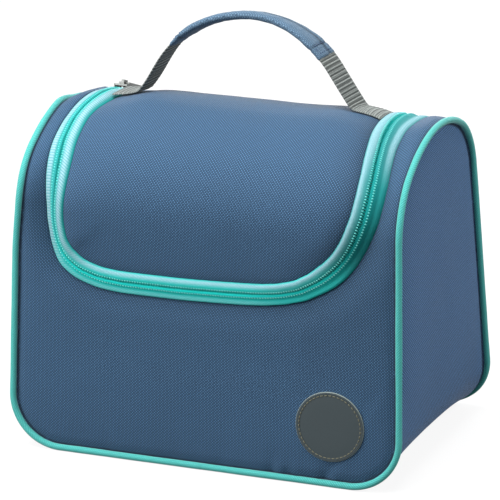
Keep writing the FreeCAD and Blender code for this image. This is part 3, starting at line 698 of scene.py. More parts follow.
@dataclass
class Patch:
    """A flat piece of cloth cut into triangles."""

    EDGE_GAP = 0.6
    GRID_GAP = 0.35
    RING_SLACK = 0.0004
    loops: list[Line2]
    spacing: float = 0.004
    rings: tuple[float, ...] = (0.0007, 0.0016, 0.003, 0.0049)
    flat: Array = field(init=False)
    faces: list[Face] = field(init=False)

    def __post_init__(self) -> None:
        """Cuts the cloth: close rows along its edges and an even grid inside."""
        self.loops = [tidy_loop(loop) for loop in self.loops]
        border = [point for loop in self.loops for point in loop]
        edges, start = [], 0
        for loop in self.loops:
            count = len(loop)
            edges += [(start + i, start + (i + 1) % count) for i in range(count)]
            start += count
        extra = np.array(self.ring_points() + self.grid_points())
        extra = extra[inside(extra, self.loops)]
        gap = nearest(extra, border)
        limits = np.array([0.0] + list(self.rings))
        near = np.array([limits[np.argmin(np.abs(limits - g))] for g in gap])
        on_ring = np.abs(gap - near) < self.RING_SLACK
        in_grid = gap > self.rings[-1] + self.GRID_GAP * self.spacing
        keep = (gap > self.EDGE_GAP * self.rings[0]) & (in_grid | on_ring)
        points = border + [tuple(p) for p in extra[keep]]
        found = delaunay_2d_cdt([Vector(p) for p in points], edges, [], 0, 1e-7)
        self.flat = np.array([tuple(p) for p in found[0]])
        triangles = np.array([tuple(f) for f in found[2]])
        middles = self.flat[triangles].mean(axis=1)
        self.faces = [tuple(int(i) for i in f) for f in triangles[inside(middles, self.loops)]]

    def ring_points(self) -> Line2:
        """Points in rows beside every edge.

        Returns:
            The points.
        """
        found: Line2 = []
        for loop in self.loops:
            corners = np.array(loop)
            along = np.roll(corners, -1, axis=0) - np.roll(corners, 1, axis=0)
            along /= np.maximum(np.linalg.norm(along, axis=1, keepdims=True), 1e-9)
            normal = np.stack([-along[:, 1], along[:, 0]], axis=1)
            for gap in self.rings:
                for way in (-1, 1):
                    found += [tuple(p) for p in corners + normal * gap * way]
        return found

    def grid_points(self) -> Line2:
        """Points of an even grid over the whole cloth.

        Returns:
            The points.
        """
        corners = np.array([p for loop in self.loops for p in loop])
        low, high = corners.min(axis=0), corners.max(axis=0)
        rows = int((high[1] - low[1]) / self.spacing)
        half_columns = int(max(abs(low[0]), abs(high[0])) / self.spacing) + 1
        return [
            ((column + 0.5 * (row % 2)) * self.spacing, low[1] + row * self.spacing)
            for row in range(rows + 1)
            for column in range(-half_columns, half_columns + 1)
        ]


def new_mesh(
    name: str,
    points: Array,
    faces: Sequence[Sequence[int]],
    material: Material,
    cloth: Array | None = None,
    seam: Array | None = None,
) -> Piece:
    """Makes a smooth object from points and faces.

    Args:
        name: Name of the piece.
        points: Points in space.
        faces: Corners of each face.
        material: Finish of the piece.
        cloth: Flat place of each point in the weave, in metres.
        seam: Share of painted shade at each point, from 0 to 1; on the zipper tape the share of
            teal, partly its own teal.

    Returns:
        The object.
    """
    mesh = bpy.data.meshes.new(name)
    mesh.from_pydata([tuple(p) for p in points], [], [tuple(f) for f in faces])
    mesh.validate()
    if cloth is not None:
        weave = np.zeros((len(points), 3), np.float32)
        weave[:, :2] = cloth[:, :2]
        layer = mesh.attributes.new("cloth", "FLOAT_VECTOR", "POINT")
        layer.data.foreach_set("vector", weave.ravel())
    if cloth is not None or seam is not None:
        depth = np.zeros(len(points)) if seam is None else seam
        layer = mesh.attributes.new("seam", "FLOAT", "POINT")
        layer.data.foreach_set("value", depth.astype(np.float32))
    mesh.materials.append(material)
    mesh.shade_smooth()
    item = bpy.data.objects.new(name, mesh)
    bpy.context.collection.objects.link(item)
    return item


def thicken(item: Piece, thickness: float) -> Piece:
    """Gives cloth its thickness, away from its outer face.

    Args:
        item: The cloth.
        thickness: Its thickness.

    Returns:
        The cloth.
    """
    solid = item.modifiers.new("thickness", "SOLIDIFY")
    solid.thickness = thickness
    solid.offset = -1.0
    return apply_modifiers(item)


def weld(item: Piece) -> Piece:
    """Joins points of a mesh that lie on each other."""
    item.modifiers.new("weld", "WELD").merge_threshold = WELD_GAP
    return apply_modifiers(item)


def apply_modifiers(item: Piece) -> Piece:
    """Keeps the result of an object's modifiers in its mesh.

    Args:
        item: The object.

    Returns:
        The object.
    """
    bpy.context.view_layer.update()
    graph = bpy.context.evaluated_depsgraph_get()
    mesh = bpy.data.meshes.new_from_object(item.evaluated_get(graph), depsgraph=graph)
    old = item.data
    item.modifiers.clear()
    item.data = mesh
    mesh.name = old.name
    bpy.data.meshes.remove(old)
    return item


def grid_faces(rows: int, columns: int, ring: bool = False, loop: bool = False) -> list[Face]:
    """Quads between points that lie row by row.

    Args:
        rows: Number of rows.
        columns: Points in each row.
        ring: Whether each row joins its start.
        loop: Whether the last row joins the first.

    Returns:
        Corners of each face.
    """
    faces = []
    for i in range(rows if loop else rows - 1):
        here, after = i * columns, (i + 1) % rows * columns
        for j in range(columns if ring else columns - 1):
            k = (j + 1) % columns
            faces.append((here + j, here + k, after + k, after + j))
    return faces


def end_caps(rows: int, columns: int) -> list[Face]:
    """Faces that close the two ends of a grid of rings."""
    last = (rows - 1) * columns
    return [tuple(range(columns))[::-1], tuple(range(last, last + columns))]


def frames_along(path: Array, closed: bool, up: Array | None = None) -> tuple[Array, Array]:
    """Side and up directions that travel along a path without twisting.

    Args:
        path: Points of the path.
        closed: Whether the path joins its start.
        up: The wanted up direction at each point, or None to carry one along.

    Returns:
        Side and up directions at each point.
    """
    if closed:
        along = np.roll(path, -1, axis=0) - np.roll(path, 1, axis=0)
    else:
        along = np.gradient(path, axis=0)
    along = normed(along)
    sides, ups = np.zeros_like(path), np.zeros_like(path)
    carried = np.array([0.0, 0.0, 1.0])
    steep = 0.9
    if abs(carried @ along[0]) > steep:
        carried = np.array([0.0, 1.0, 0.0])
    for i, tangent in enumerate(along):
        wanted = carried if up is None else up[i]
        carried = normed(wanted - tangent * (wanted @ tangent))
        ups[i] = carried
        sides[i] = np.cross(tangent, carried)
    return sides, ups


def tube_mesh(
    path: Array, radius: Array, sides: int, closed: bool, up: Array | None = None
) -> tuple[Array, list, Array]:
    """A round tube along a path.

    Args:
        path: Points of the path.
        radius: Radius at each point.
        sides: Corners of its section.
        closed: Whether the tube joins its start.
        up: The wanted up direction at each point, or None to carry one along.

    Returns:
        Points, faces and the flat place of each point.
    """
    across, up = frames_along(path, closed, up)
    turns = np.linspace(0, 2 * math.pi, sides, endpoint=False)
    cos, sin = np.cos(turns)[None, :, None], np.sin(turns)[None, :, None]
    ring = cos * across[:, None, :] + sin * up[:, None, :]
    points = path[:, None, :] + ring * radius[:, None, None]
    count = len(path)
    faces = grid_faces(count, sides, True, closed)
    if not closed:
        faces += end_caps(count, sides)
    along = np.repeat(run_lengths(path), sides)
    around = np.tile(turns, count) * float(np.mean(radius))
    return points.reshape(-1, 3), faces, np.stack([around, along], axis=1)


def join_meshes(parts: Sequence[Mesh]) -> Mesh:
    """Puts several meshes into one.

    Args:
        parts: Points and faces of each mesh.

    Returns:
        All the points and all the faces.
    """
    points, faces, start = [], [], 0
    for some, corners in parts:
        points.append(some)
        faces += [tuple(start + i for i in face) for face in corners]
        start += len(some)
    return np.concatenate(points), faces


STITCH_SHARES = np.array([0.0, 0.12, 0.35, 0.65, 0.88, 1.0])
STITCH_RISES = np.array([-0.55, 0.15, 0.45, 0.45, 0.15, -0.55])
STITCH_WIDTHS = np.array([0.55, 0.9, 1.0, 1.0, 0.9, 0.55])
STITCH_SIDES = 6


def stitch_mesh(path: Array, outward: Array, length: float, gap: float, thickness: float) -> Mesh:
    """A row of separate stitches lying along a path.

    Args:
        path: Points of the seam.
        outward: Direction away from the cloth at each point.
        length: Length of one stitch.
        gap: Space between stitches.
        thickness: Thickness of the thread.

    Returns:
        Points and faces of all the stitches.
    """
    lengths = run_lengths(path)
    count = max(1, int(lengths[-1] / (length + gap)))
    pitch = lengths[-1] / count
    rises, widths = STITCH_RISES * thickness, STITCH_WIDTHS * thickness / 2
    made = []
    for i in range(count):
        at = (i + 0.5) * pitch + (STITCH_SHARES - 0.5) * length
        away = sampled(at, lengths, outward)
        line = sampled(at, lengths, path) + away * rises[:, None]
        made.append(tube_mesh(line, widths, STITCH_SIDES, False)[:2])
    return join_meshes(made)


# Finishes


class Tree:
    """Short words for building a node tree."""

    def __init__(self, tree: NodeTree) -> None:
        """Starts with an empty tree."""
        self.tree = tree
        tree.nodes.clear()

    def add(self, kind: str, **settings: object) -> bpy.types.Node:
        """Adds a node and sets its properties.

        Args:
            kind: Type of the node.
            settings: Its properties by name.

        Returns:
            The node.
        """
        made = self.tree.nodes.new(kind)
        for name, value in settings.items():
            setattr(made, name, value)
        return made

    def feed(self, socket: Socket, value: object) -> None:
        """Links an output to a socket, or sets the socket's own value.

        Args:
            socket: The input.
            value: An output, a colour or a plain value.
        """
        if isinstance(value, Socket):
            self.tree.links.new(value, socket)
        elif isinstance(value, tuple) and len(value) == 3 and socket.type == "RGBA":
            socket.default_value = (*value, 1.0)
        else:
            socket.default_value = value

    def make(
        self, kind: str, values: dict[int | str, object], **settings: object
    ) -> bpy.types.NodeOutputs:
        """Adds a node and feeds its inputs.

        Args:
            kind: Type of the node.
            values: What its inputs get, by their name or number.
            settings: Its properties by name.

        Returns:
            The node's outputs.
        """
        made = self.add(kind, **settings)
        for key, value in values.items():
            self.feed(made.inputs[key], value)
        return made.outputs

    def math(
        self, operation: str, first: object, second: object = 0.0, third: object = 0.0
    ) -> Socket:
        """The result of one sum."""
        values = {0: first, 1: second, 2: third}
        return self.make("ShaderNodeMath", values, operation=operation)[0]

    def ridges(self, value: object, rate: float = np.pi) -> Socket:
        """Rounded ridges that repeat with a value."""
        return self.math("ABSOLUTE", self.math("SINE", self.math("MULTIPLY", value, rate)))

    def scaled(self, place: object, by: object) -> Socket:
        """A place at another scale."""
        return self.make("ShaderNodeVectorMath", {0: place, "Scale": by}, operation="SCALE")[0]

    def split(self, place: object) -> list[Socket]:
        """The first two parts of a place."""
        return self.make("ShaderNodeSeparateXYZ", {0: place})[:2]

    def attribute(self, name: str, kind: str = "Fac") -> Socket:
        """A value that the mesh carries at its points."""
        return self.add("ShaderNodeAttribute", attribute_name=name).outputs[kind]

    def use(self, group: NodeTree, **values: object) -> bpy.types.NodeOutputs:
        """Places a node group with its own values and gives its outputs."""
        return self.make("ShaderNodeGroup", values, node_tree=group)

    def backdrop_ray(self) -> Socket:
        """1 for a ray that shows the backdrop: seen, mirrored or through glass.

        Returns:
            The mask.
        """
        path = self.add("ShaderNodeLightPath").outputs
        seen = self.math("MAXIMUM", path["Is Camera Ray"], path["Is Glossy Ray"])
        return self.math("MAXIMUM", seen, path["Is Transmission Ray"])

    def mix(self, share: object, first: object, second: object, kind: str = "MIX") -> Socket:
        """A mix of two colours."""
        values = {"Factor": share, 6: first, 7: second}
        return self.make("ShaderNodeMix", values, data_type="RGBA", blend_type=kind)[2]

    def noise(self, place: object, scale: object, detail: float = 2.0) -> Socket:
        """Soft cloudy values about one half."""
        values = {"Vector": place, "Scale": scale, "Detail": detail}
        return self.make("ShaderNodeTexNoise", values)["Fac"]

    def ramp(self, value: object, low: float, high: float) -> Socket:
        """A value stretched from 0 at low to 1 at high."""
        return self.make("ShaderNodeMapRange", {0: value, 1: low, 2: high})[0]


class Effects:
    """Effects that several finishes use, each built once as a node group."""

    WANDER_SCALE = 210.0
    WANDER = 0.00035
    SPECK_SCALE = 1400.0
    FINE_MOTTLE = 9.0

    def __init__(self) -> None:
        """Builds the groups."""
        self.weave = self.weave_group()
        self.twill = self.twill_group()
        self.mottle = self.mottle_group()
        # Painted shade in seams, grooves and creases, mixed in by a share that the mesh carries.
        self.seam = self.painted_shade_group()

    @staticmethod
    def group(
        name: str, inputs: dict[str, str], outputs: dict[str, str]
    ) -> tuple[NodeTree, Tree, dict, dict]:
        """An empty group with named sockets.

        Args:
            name: Name of the group.
            inputs: Socket kinds by name.
            outputs: Socket kinds by name.

        Returns:
            The group, its tree, its inputs and its outputs by name.
        """
        made = bpy.data.node_groups.new(name, "ShaderNodeTree")
        for way, sockets in (("INPUT", inputs), ("OUTPUT", outputs)):
            for title, kind in sockets.items():
                made.interface.new_socket(title, in_out=way, socket_type=f"NodeSocket{kind}")
        tree = Tree(made)
        given = tree.add("NodeGroupInput").outputs
        result = tree.add("NodeGroupOutput").inputs
        return made, tree, {k: given[k] for k in inputs}, {k: result[k] for k in outputs}

    def weave_group(self) -> NodeTree:
        """Plain-woven threads: colour and height of the cloth at its flat place.

        Returns:
            The group.
        """
        made, tree, given, result = self.group(
            "woven_threads",
            {"Place": "Vector", "Threads": "Float", "Shade": "Color", "Light": "Color"},
            {"Color": "Color", "Height": "Float"},
        )
        spot = given["Place"]
        wander = tree.make("ShaderNodeTexNoise", {"Vector": spot, "Scale": self.WANDER_SCALE})
        shift = tree.scaled(wander["Color"], self.WANDER)
        moved = tree.make("ShaderNodeVectorMath", {0: spot, 1: shift}, operation="ADD")[0]
        warp, weft = tree.split(tree.scaled(moved, given["Threads"]))
        crowns = [tree.ridges(axis) for axis in (warp, weft)]
        cells = tree.math("ADD", tree.math("FLOOR", warp), tree.math("FLOOR", weft))
        over = tree.math("FLOORED_MODULO", cells, 2.0)
        warp_over, weft_over = (
            tree.math("MULTIPLY", own, tree.math("MULTIPLY_ADD", other, 0.45, 0.55))
            for own, other in (crowns, crowns[::-1])
        )
        heights = {0: over, 2: weft_over, 3: warp_over}
        crown = tree.make("ShaderNodeMix", heights, data_type="FLOAT")[0]
        bright = tree.math("MULTIPLY", crown, tree.math("MULTIPLY_ADD", over, 0.6, 0.4))
        tree.feed(result["Color"], tree.mix(bright, given["Shade"], given["Light"]))
        tree.feed(result["Height"], crown)
        return made

    def twill_group(self) -> NodeTree:
        """Fine slanting ribs of a twill tape.

        Returns:
            The group.
        """
        made, tree, given, result = self.group(
            "twill_ribs",
            {
                "Place": "Vector", "Ribs": "Float", "Slant": "Float",
                "Shade": "Color", "Light": "Color",
            },
            {"Color": "Color", "Height": "Float"},
        )
        across, along = tree.split(given["Place"])
        lean = tree.math("MULTIPLY", across, given["Slant"])
        rib = tree.ridges(tree.math("MULTIPLY", tree.math("ADD", along, lean), given["Ribs"]))
        thread = tree.ridges(tree.math("MULTIPLY", across, given["Ribs"]), 2 * math.pi)
        height = tree.math("MULTIPLY_ADD", rib, 0.75, tree.math("MULTIPLY", thread, 0.25))
        speck = tree.ramp(tree.noise(given["Place"], self.SPECK_SCALE), 0.3, 0.7)
        bright = tree.math("MULTIPLY", height, tree.math("MULTIPLY_ADD", speck, 0.5, 0.6))
        tree.feed(result["Color"], tree.mix(bright, given["Shade"], given["Light"]))
        tree.feed(result["Height"], height)
        return made

    def mottle_group(self) -> NodeTree:
        """Slow change of shade from dyeing and handling.

        Returns:
            The group.
        """
        made, tree, given, result = self.group(
            "dye_mottle",
            {"Color": "Color", "Amount": "Float", "Scale": "Float"},
            {"Color": "Color", "Value": "Float"},
        )
        place = tree.add("ShaderNodeTexCoord").outputs["Object"]
        broad = tree.noise(place, given["Scale"], 3.0)
        fine = tree.noise(place, tree.math("MULTIPLY", given["Scale"], self.FINE_MOTTLE))
        both = tree.math("MULTIPLY_ADD", broad, 0.7, tree.math("MULTIPLY", fine, 0.3))
        level = tree.math("MULTIPLY_ADD", tree.math("SUBTRACT", both, 0.5), given["Amount"], 1.0)
        grey = tree.make("ShaderNodeCombineColor", dict.fromkeys(range(3), level))[0]
        tree.feed(result["Color"], tree.mix(1.0, given["Color"], grey, "MULTIPLY"))
        tree.feed(result["Value"], both)
        return made

    def painted_shade_group(self) -> NodeTree:
        """Painted shade: mixes the colour towards a shade colour by a share that the mesh carries.

        Returns:
            The group.
        """
        made, tree, given, result = self.group(
            "seam_shade", {"Color": "Color", "Depth": "Float", "Shade": "Color"}, {"Color": "Color"}
        )
        tree.feed(result["Color"], tree.mix(given["Depth"], given["Color"], given["Shade"]))
        return made


def linear(hex_code: str) -> tuple[float, ...]:
    """A colour from its screen code, in linear light."""
    levels = [int(hex_code[start : start + 2], 16) / 255 for start in (0, 2, 4)]
    return tuple(v / 12.92 if v <= 0.04045 else ((v + 0.055) / 1.055) ** 2.4 for v in levels)


class Surface:
    """A material with one shader, while it is being built."""

    def __init__(self, name: str) -> None:
        """Starts an empty material.

        Args:
            name: Name of the finish.
        """
        self.material = bpy.data.materials.new(name)
        self.material.use_nodes = True
        self.tree = Tree(self.material.node_tree)
        self.shader = self.tree.add("ShaderNodeBsdfPrincipled")
        self.tree.make("ShaderNodeOutputMaterial", {"Surface": self.shader.outputs[0]})

    def rough(self, value: Socket, middle: float, swing: float) -> None:
        """Lets the roughness swing about its middle with a value."""
        rough = self.tree.math("MULTIPLY_ADD", value, swing, middle - swing / 2)
        self.tree.feed(self.shader.inputs["Roughness"], rough)

    def relief(self, height: Socket, strength: float, depth: float) -> None:
        """Gives the surface a fine relief."""
        values = {"Strength": strength, "Distance": depth, "Height": height}
        self.tree.feed(self.shader.inputs["Normal"], self.tree.make("ShaderNodeBump", values)[0])

    def finished(self, colour: Socket, values: dict[str, float]) -> Material:
        """Sets the colour and the shader's plain values.

        Args:
            colour: The colour over the surface.
            values: Plain values by the name of their socket.

        Returns:
            The material.
        """
        self.tree.feed(self.shader.inputs["Base Color"], colour)
        for name, value in values.items():
            self.shader.inputs[name].default_value = value
        return self.material


class Pattern(Enum):
    """How a cloth is woven."""

    WEAVE = "weave"
    TWILL = "twill"


@dataclass(frozen=True)
class ClothFinish:
    """A woven cloth."""

    ROUGH_SWING = 0.16
    BUMP = 0.6
    SHEEN_ROUGHNESS = 0.45
    SPECULAR = 0.14
    name: str
    shade: str
    light: str
    pattern: Pattern = Pattern.WEAVE
    threads: float = 1700.0
    slant: float = 1.0
    relief: float = 0.00016
    roughness: float = 0.72
    sheen: float = 0.04
    mottle: float = 0.25
    mottle_scale: float = 14.0
    # Colour of painted shade in seams, grooves and creases, and the bright teal of painted light
    # that the zipper tape takes at the front.
    seam_shade: str = "101820"
    painted_light_colour: str = ""

    def build(self, effects: Effects) -> Material:
        """Makes the material.

        Args:
            effects: The shared node groups.

        Returns:
            The material.
        """
        surface = Surface(self.name)
        tree = surface.tree
        looks = {
            "Place": tree.attribute("cloth", "Vector"),
            "Shade": linear(self.shade),
            "Light": linear(self.light),
        }
        if self.pattern is Pattern.WEAVE:
            woven = tree.use(effects.weave, Threads=self.threads, **looks)
        else:
            woven = tree.use(effects.twill, Ribs=self.threads, Slant=self.slant, **looks)
        mottle = tree.use(
            effects.mottle, Color=woven["Color"], Amount=self.mottle, Scale=self.mottle_scale
        )
        # Painted shade; on the zipper tape it turns to painted light, a bright teal, where the
        # mesh's share of painted light is high.
        shade = linear(self.seam_shade)
        if self.painted_light_colour:
            shade = tree.mix(tree.attribute("dye"), shade, linear(self.painted_light_colour))
        seam = tree.use(
            effects.seam, Color=mottle["Color"], Depth=tree.attribute("seam"), Shade=shade
        )
        surface.rough(mottle["Value"], self.roughness, self.ROUGH_SWING)
        surface.relief(woven["Height"], self.BUMP, self.relief)
        return surface.finished(
            seam["Color"],
            {
                "Sheen Weight": self.sheen,
                "Sheen Roughness": self.SHEEN_ROUGHNESS,
                "Specular IOR Level": self.SPECULAR,
            },
        )


@dataclass(frozen=True)
class SmoothFinish:
    """A plastic, thread, film or metal with a fine grain."""

    ROUGH_SWING = 0.2
    BUMP = 0.5
    name: str
    colour: str
    roughness: float = 0.4
    metallic: float = 0.0
    grain_scale: float = 900.0
    grain: float = 0.00005
    mottle: float = 0.2
    mottle_scale: float = 40.0

    def build(self, effects: Effects) -> Material:
        """Makes the material.

        Args:
            effects: The shared node groups.

        Returns:
            The material.
        """
        surface = Surface(self.name)
        tree = surface.tree
        mottle = tree.use(
            effects.mottle, Color=linear(self.colour), Amount=self.mottle, Scale=self.mottle_scale
        )
        place = tree.add("ShaderNodeTexCoord").outputs["Object"]
        grain = tree.noise(place, self.grain_scale, 3.0)
        surface.rough(grain, self.roughness, self.ROUGH_SWING)
        surface.relief(grain, self.BUMP, self.grain)
        return surface.finished(mottle["Color"], {"Metallic": self.metallic})


class Finishes:
    """Every finish of the bag."""

    def __init__(self) -> None:
        """Builds the materials."""
        effects = Effects()
        twill, thread = Pattern.TWILL, {"grain_scale": 2500.0, "mottle": 0.3}
        # The tape's dark teal is its own teal deepened by painted shade on the legs; its bright
        # teal is painted light at the front.
        self.tape = ClothFinish(
            "tape_twill", "3c8894", "9cbcc4", twill, 560.0, -1.6,
            mottle=0.15, seam_shade="007272", painted_light_colour="13beb6",
        ).build(effects)
        self.cord = ClothFinish(
            "cord_cloth", "087a76", "5cbab4", twill, 620.0,
            sheen=0.25, mottle=0.15, seam_shade="0e4a48",
        ).build(effects)
        self.webbing = ClothFinish(
            "handle_webbing_rib", "262b2b", "959b98", twill, 700.0, 0.0,
            mottle=0.2, seam_shade="1c1f1f",
        ).build(effects)
        self.coil = ClothFinish(
            "coil_nylon", "1cc4bc", "1cc4bc", twill,
            relief=0.0, roughness=0.45, seam_shade="007272",
        ).build(effects)
        # The stitches' pale colour is partly thread and partly a painted highlight of the coil's
        # loops.
        self.coil_thread = ClothFinish(
            "coil_thread", "84ece4", "96f4ec", twill, relief=0.0, seam_shade="3aa8a4"
        ).build(effects)
        self.lining = SmoothFinish(
            "lining_film", "b3babd", 0.36, grain_scale=500.0, grain=0.00012, mottle=0.12
        ).build(effects)
        self.badge = SmoothFinish(
            "badge_hide", "1b292d", 0.6, grain_scale=1500.0, grain=0.00008, mottle=0.25
        ).build(effects)
        self.cloth = ClothFinish(
            "navy_cloth", "08172a", "51789c", threads=1120.0, sheen=0.1
        ).build(effects)
        # A lighter, bluer copy of the navy cloth for the sides and the base: painted light.
        self.lit_side_cloth = ClothFinish(
            "navy_side_cloth", "07162c", "6490c2", threads=900.0
        ).build(effects)
        self.grip = ClothFinish("grip_cloth", "24364a", "7290a8", threads=1250.0).build(effects)
        self.metal = SmoothFinish("slider_nickel", "707270", 0.5, 1.0, mottle=0.1).build(effects)
        self.badge_edge = SmoothFinish("badge_cut_edge", "7d8884", 0.65).build(effects)
        self.badge_thread = SmoothFinish("badge_thread", "5e5d4c", 0.7, **thread).build(effects)
        self.grip_thread = SmoothFinish("grip_thread", "1e3557", 0.7, **thread).build(effects)


# Cloth


def tie(
    item: Piece, part: Part, nodes: Sequence[str] = ()
) -> Piece:
    """Ties a piece to the frame; a lid's piece, which runs on over the fold to the bag, only has
    its place kept in its mesh and is tied to no body.

    Args:
        item: The piece.
        part: The body that carries it.
        nodes: The solids that it stands for.

    Returns:
        The piece.
    """
    if part is Part.LID:
        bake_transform(item)
    else:
        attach(item, part.value)
    if nodes:
        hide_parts(*nodes)
    return item


def noise_rise(flat: Array, amounts: Sequence[Point2], seed: float) -> Array:
    """Slow ups and downs of soft cloth.

    Args:
        flat: Flat points.
        amounts: Pairs of wave length and height.
        seed: Sets this cloth apart from the others.

    Returns:
        The height of each point.
    """
    rise = np.zeros(len(flat))
    for length, height in amounts:
        waves = [noise.noise((x / length, y / length, seed)) for x, y in flat]
        rise += height * np.array(waves)
    return rise


def roll_in(gap: Array, sink: float, lift: float, reach: float) -> Array:
    """Height of cloth that rises from a sunk seam to its lift over a reach."""
    return -sink + (sink + lift) * risen(gap, reach)


# Painted shade in seams: how far it reaches and how strong it is.
SEAM_REACH = 0.0016
SEAM_SHADE_SHARE = 0.85
PIPING_EDGE = (0.0004, 0.0026)
CORD_REACH = 0.006
CORD_GROOVE = (0.0009, 0.0024, 0.0013)  # depth, place, width


def painted_seam_shade(gap: Array) -> Array:
    """Share of painted shade in a seam, from 1 at the seam to 0."""
    return np.clip(1 - gap / SEAM_REACH, 0, 1) ** 1.5


def beside_cord(gap: Array, lift: float) -> Array:
    """Height of cloth beside the corded edge: a groove, then a lift over a few millimetres."""
    depth, place, width = CORD_GROOVE
    return lift * risen(gap, CORD_REACH) - depth * bell(gap - place, width)


@dataclass
class Outer:
    """The cloth of the front, the dome, the back, the sides, the base and the lid."""

    LEG_SIDE = (0.02, 0.05)
    LEG_UP = (0.122, 0.02)
    FLAT_REACH = 0.014
    SWELL_REACH = 0.012
    BAND_SHADE_UP = (0.16, 0.04)
    FOLD_POINTS = 40
    FOLD_SLACK = 0.001
    PUCKERS = (
        (0.042, 0.25, 0.0020, 0.0026),
        (0.054, 0.1, 0.0016, 0.0022),
        (0.075, 0.55, 0.0024, 0.0028),
        (0.010, 0.1, 0.0009, 0.0026),
        (-0.020, -0.1, 0.0007, 0.0026),
        (-0.062, -0.3, 0.0009, 0.0028),
    )
    finishes: Finishes
    thickness: float = 0.0009
    wall_crown: float = 0.0012
    side_crown: float = 0.0024
    side_reach: float = 0.02
    side_foot: Point2 = (0.02, 0.04)
    side_lift: float = 0.0005
    side_waves: Pairs = ((0.08, 0.001), (0.035, 0.0004))
    corner_sag: float = 0.0045
    corner_width: float = 0.03
    corner_reach: float = 0.022
    base_share: float = 0.5
    base_roll: Point2 = (0.0008, 0.003)
    base_top: float = 0.002
    wrap_seam: Point3 = (0.0009, 0.0008, 0.0016)  # sink, lift, reach
    wrap_lift: float = 0.0006
    wrap_waves: Pairs = ((0.08, 0.0008), (0.03, 0.0003))
    lid_sink: float = 0.0014
    lid_lift: Point2 = (0.0010, 0.0014)  # least, more on the right leg
    lid_reach: Point2 = (0.0026, 0.0026)
    lid_waves: Pairs = ((0.07, 0.0007), (0.026, 0.0003))
    lid_fade: float = 0.03
    lid_shade: float = 0.45
    lid_shade_least: float = 0.05
    lid_shade_reach: float = 0.007
    pucker_reach: float = 0.011
    pucker_start: float = 0.002
    pucker_top: float = 0.06
    # Painted shade beside the zipper's band on the lower bag, reaching further on the right.
    band_shade: float = 0.3
    band_shade_side: float = 0.06
    band_shade_reach: Point2 = (0.025, 0.010)

    def right_leg(self, flat: Array) -> Array:
        """A share that is 1 near the right leg of the zipper."""
        return ease(flat[:, 0], *self.LEG_SIDE) * ease(flat[:, 1], *self.LEG_UP)

    def zip_edges(self, offset: float) -> Line2:
        """Both sides of a line beside the zipper, up to its ends."""
        return both_sides(zip_line(offset, ZIP_END))

    def lid_rise(self, flat: Array) -> Array:
        """Height of the lid's cloth, which puffs up between the zipper's legs.

        Args:
            flat: Flat points of the pattern.

        Returns:
            The height of each point.
        """
        gap = nearest(flat, self.zip_edges(SHAPE.band))
        leg = self.right_leg(flat)
        lift, reach = (least + more * leg for least, more in (self.lid_lift, self.lid_reach))
        rise = DRAPE.puff(flat) + roll_in(gap, self.lid_sink, lift, reach)
        return rise + risen(gap, self.SWELL_REACH) * noise_rise(flat, self.lid_waves, seed=3.1)

    def wrap_rise(self, flat: Array) -> Array:
        """Height of the cloth outside the zipper.

        Args:
            flat: Flat points of the pattern.

        Returns:
            The height of each point.
        """
        zip_gap = nearest(flat, self.zip_edges(-SHAPE.band))
        edge = edge_line(*PIPING_EDGE, step=0.002)
        edge_gap = nearest(flat, edge + mirrored(edge))
        rise = DRAPE.puff(flat) + roll_in(zip_gap, *self.wrap_seam)
        rise += beside_cord(edge_gap, self.wrap_lift)
        away = risen(zip_gap, self.FLAT_REACH) * risen(edge_gap, self.FLAT_REACH)
        rise += self.wall_crown * away
        rise += away * noise_rise(flat, self.wrap_waves, seed=7.7)
        return rise + self.puckers(flat, edge_gap)

    def puckers(self, flat: Array, gap: Array) -> Array:
        """Short creases that run up from the corded lower edge of the front.

        Args:
            flat: Flat points of the pattern.
            gap: Distance of each point from the corded edge.

        Returns:
            The height of each point.
        """
        rise = np.zeros(len(flat))
        fade = np.exp(-gap / self.pucker_reach) * (flat[:, 1] < self.pucker_top)
        fade *= np.clip(gap / self.pucker_start, 0, 1)
        for across, lean, depth, width in self.PUCKERS:
            beside = flat[:, 0] - across - lean * flat[:, 1]
            rise -= depth * (bell(beside, width) - 0.5 * bell(beside - 2 * width, width)) * fade
        return rise

    def build_wrap(self) -> Piece:
        """Front, dome and back in one cloth, open where the lid is.

        Returns:
            The cloth.
        """
        edge = edge_line(*PIPING_EDGE, step=0.003)
        outer = edge + mirrored(edge)[::-1]
        patch = Patch([outer, lid_opening(SHAPE.band, self.FOLD_POINTS)])
        flat = patch.flat
        across, along = flat.T
        zip_gap = np.minimum(
            *(nearest(flat, self.zip_edges(side * SHAPE.band)) for side in (-1, 1))
        )
        edge_gap = nearest(flat, outer)
        lid_across, lid_along = np.array(zip_line(SHAPE.band, ZIP_END, FOLD_END)).T
        between = np.abs(across) < np.interp(along, lid_along, lid_across)
        lid_like = between & (along > FOLD_END - self.FOLD_SLACK)
        share = lid_like * (1 - np.clip((along - ZIP_END) / self.lid_fade, 0, 1))
        rise = self.wrap_rise(flat) * (1 - share) + self.lid_rise(flat) * share
        # Painted shade in the seams beside the zipper and the cord, and beside the zipper's band
        # below the dome.
        dark = np.maximum(painted_seam_shade(zip_gap), painted_seam_shade(np.abs(edge_gap - SEAM_REACH)))
        band_shade = np.exp(-zip_gap / np.where(across > self.band_shade_side, *self.band_shade_reach))
        dark = np.maximum(dark, self.band_shade * band_shade * (1 - ease(along, *self.BAND_SHADE_UP)))
        item = new_mesh(
            "wrap_cloth", wrap_points(flat, rise), patch.faces,
            self.finishes.cloth, DRAPE.moved(flat), dark * SEAM_SHADE_SHARE,
        )
        nodes = ("front_panel", "back_panel", "front_foam", "back_foam")
        return self.finish(item, Part.BAG, nodes)

    def build_lid(self) -> Piece:
        """The lid's cloth, which runs on over the fold.

        Returns:
            The cloth.
        """
        patch = Patch([lid_outline(SHAPE.band, self.FOLD_POINTS)])
        flat = patch.flat
        gap = nearest(flat, self.zip_edges(SHAPE.band))
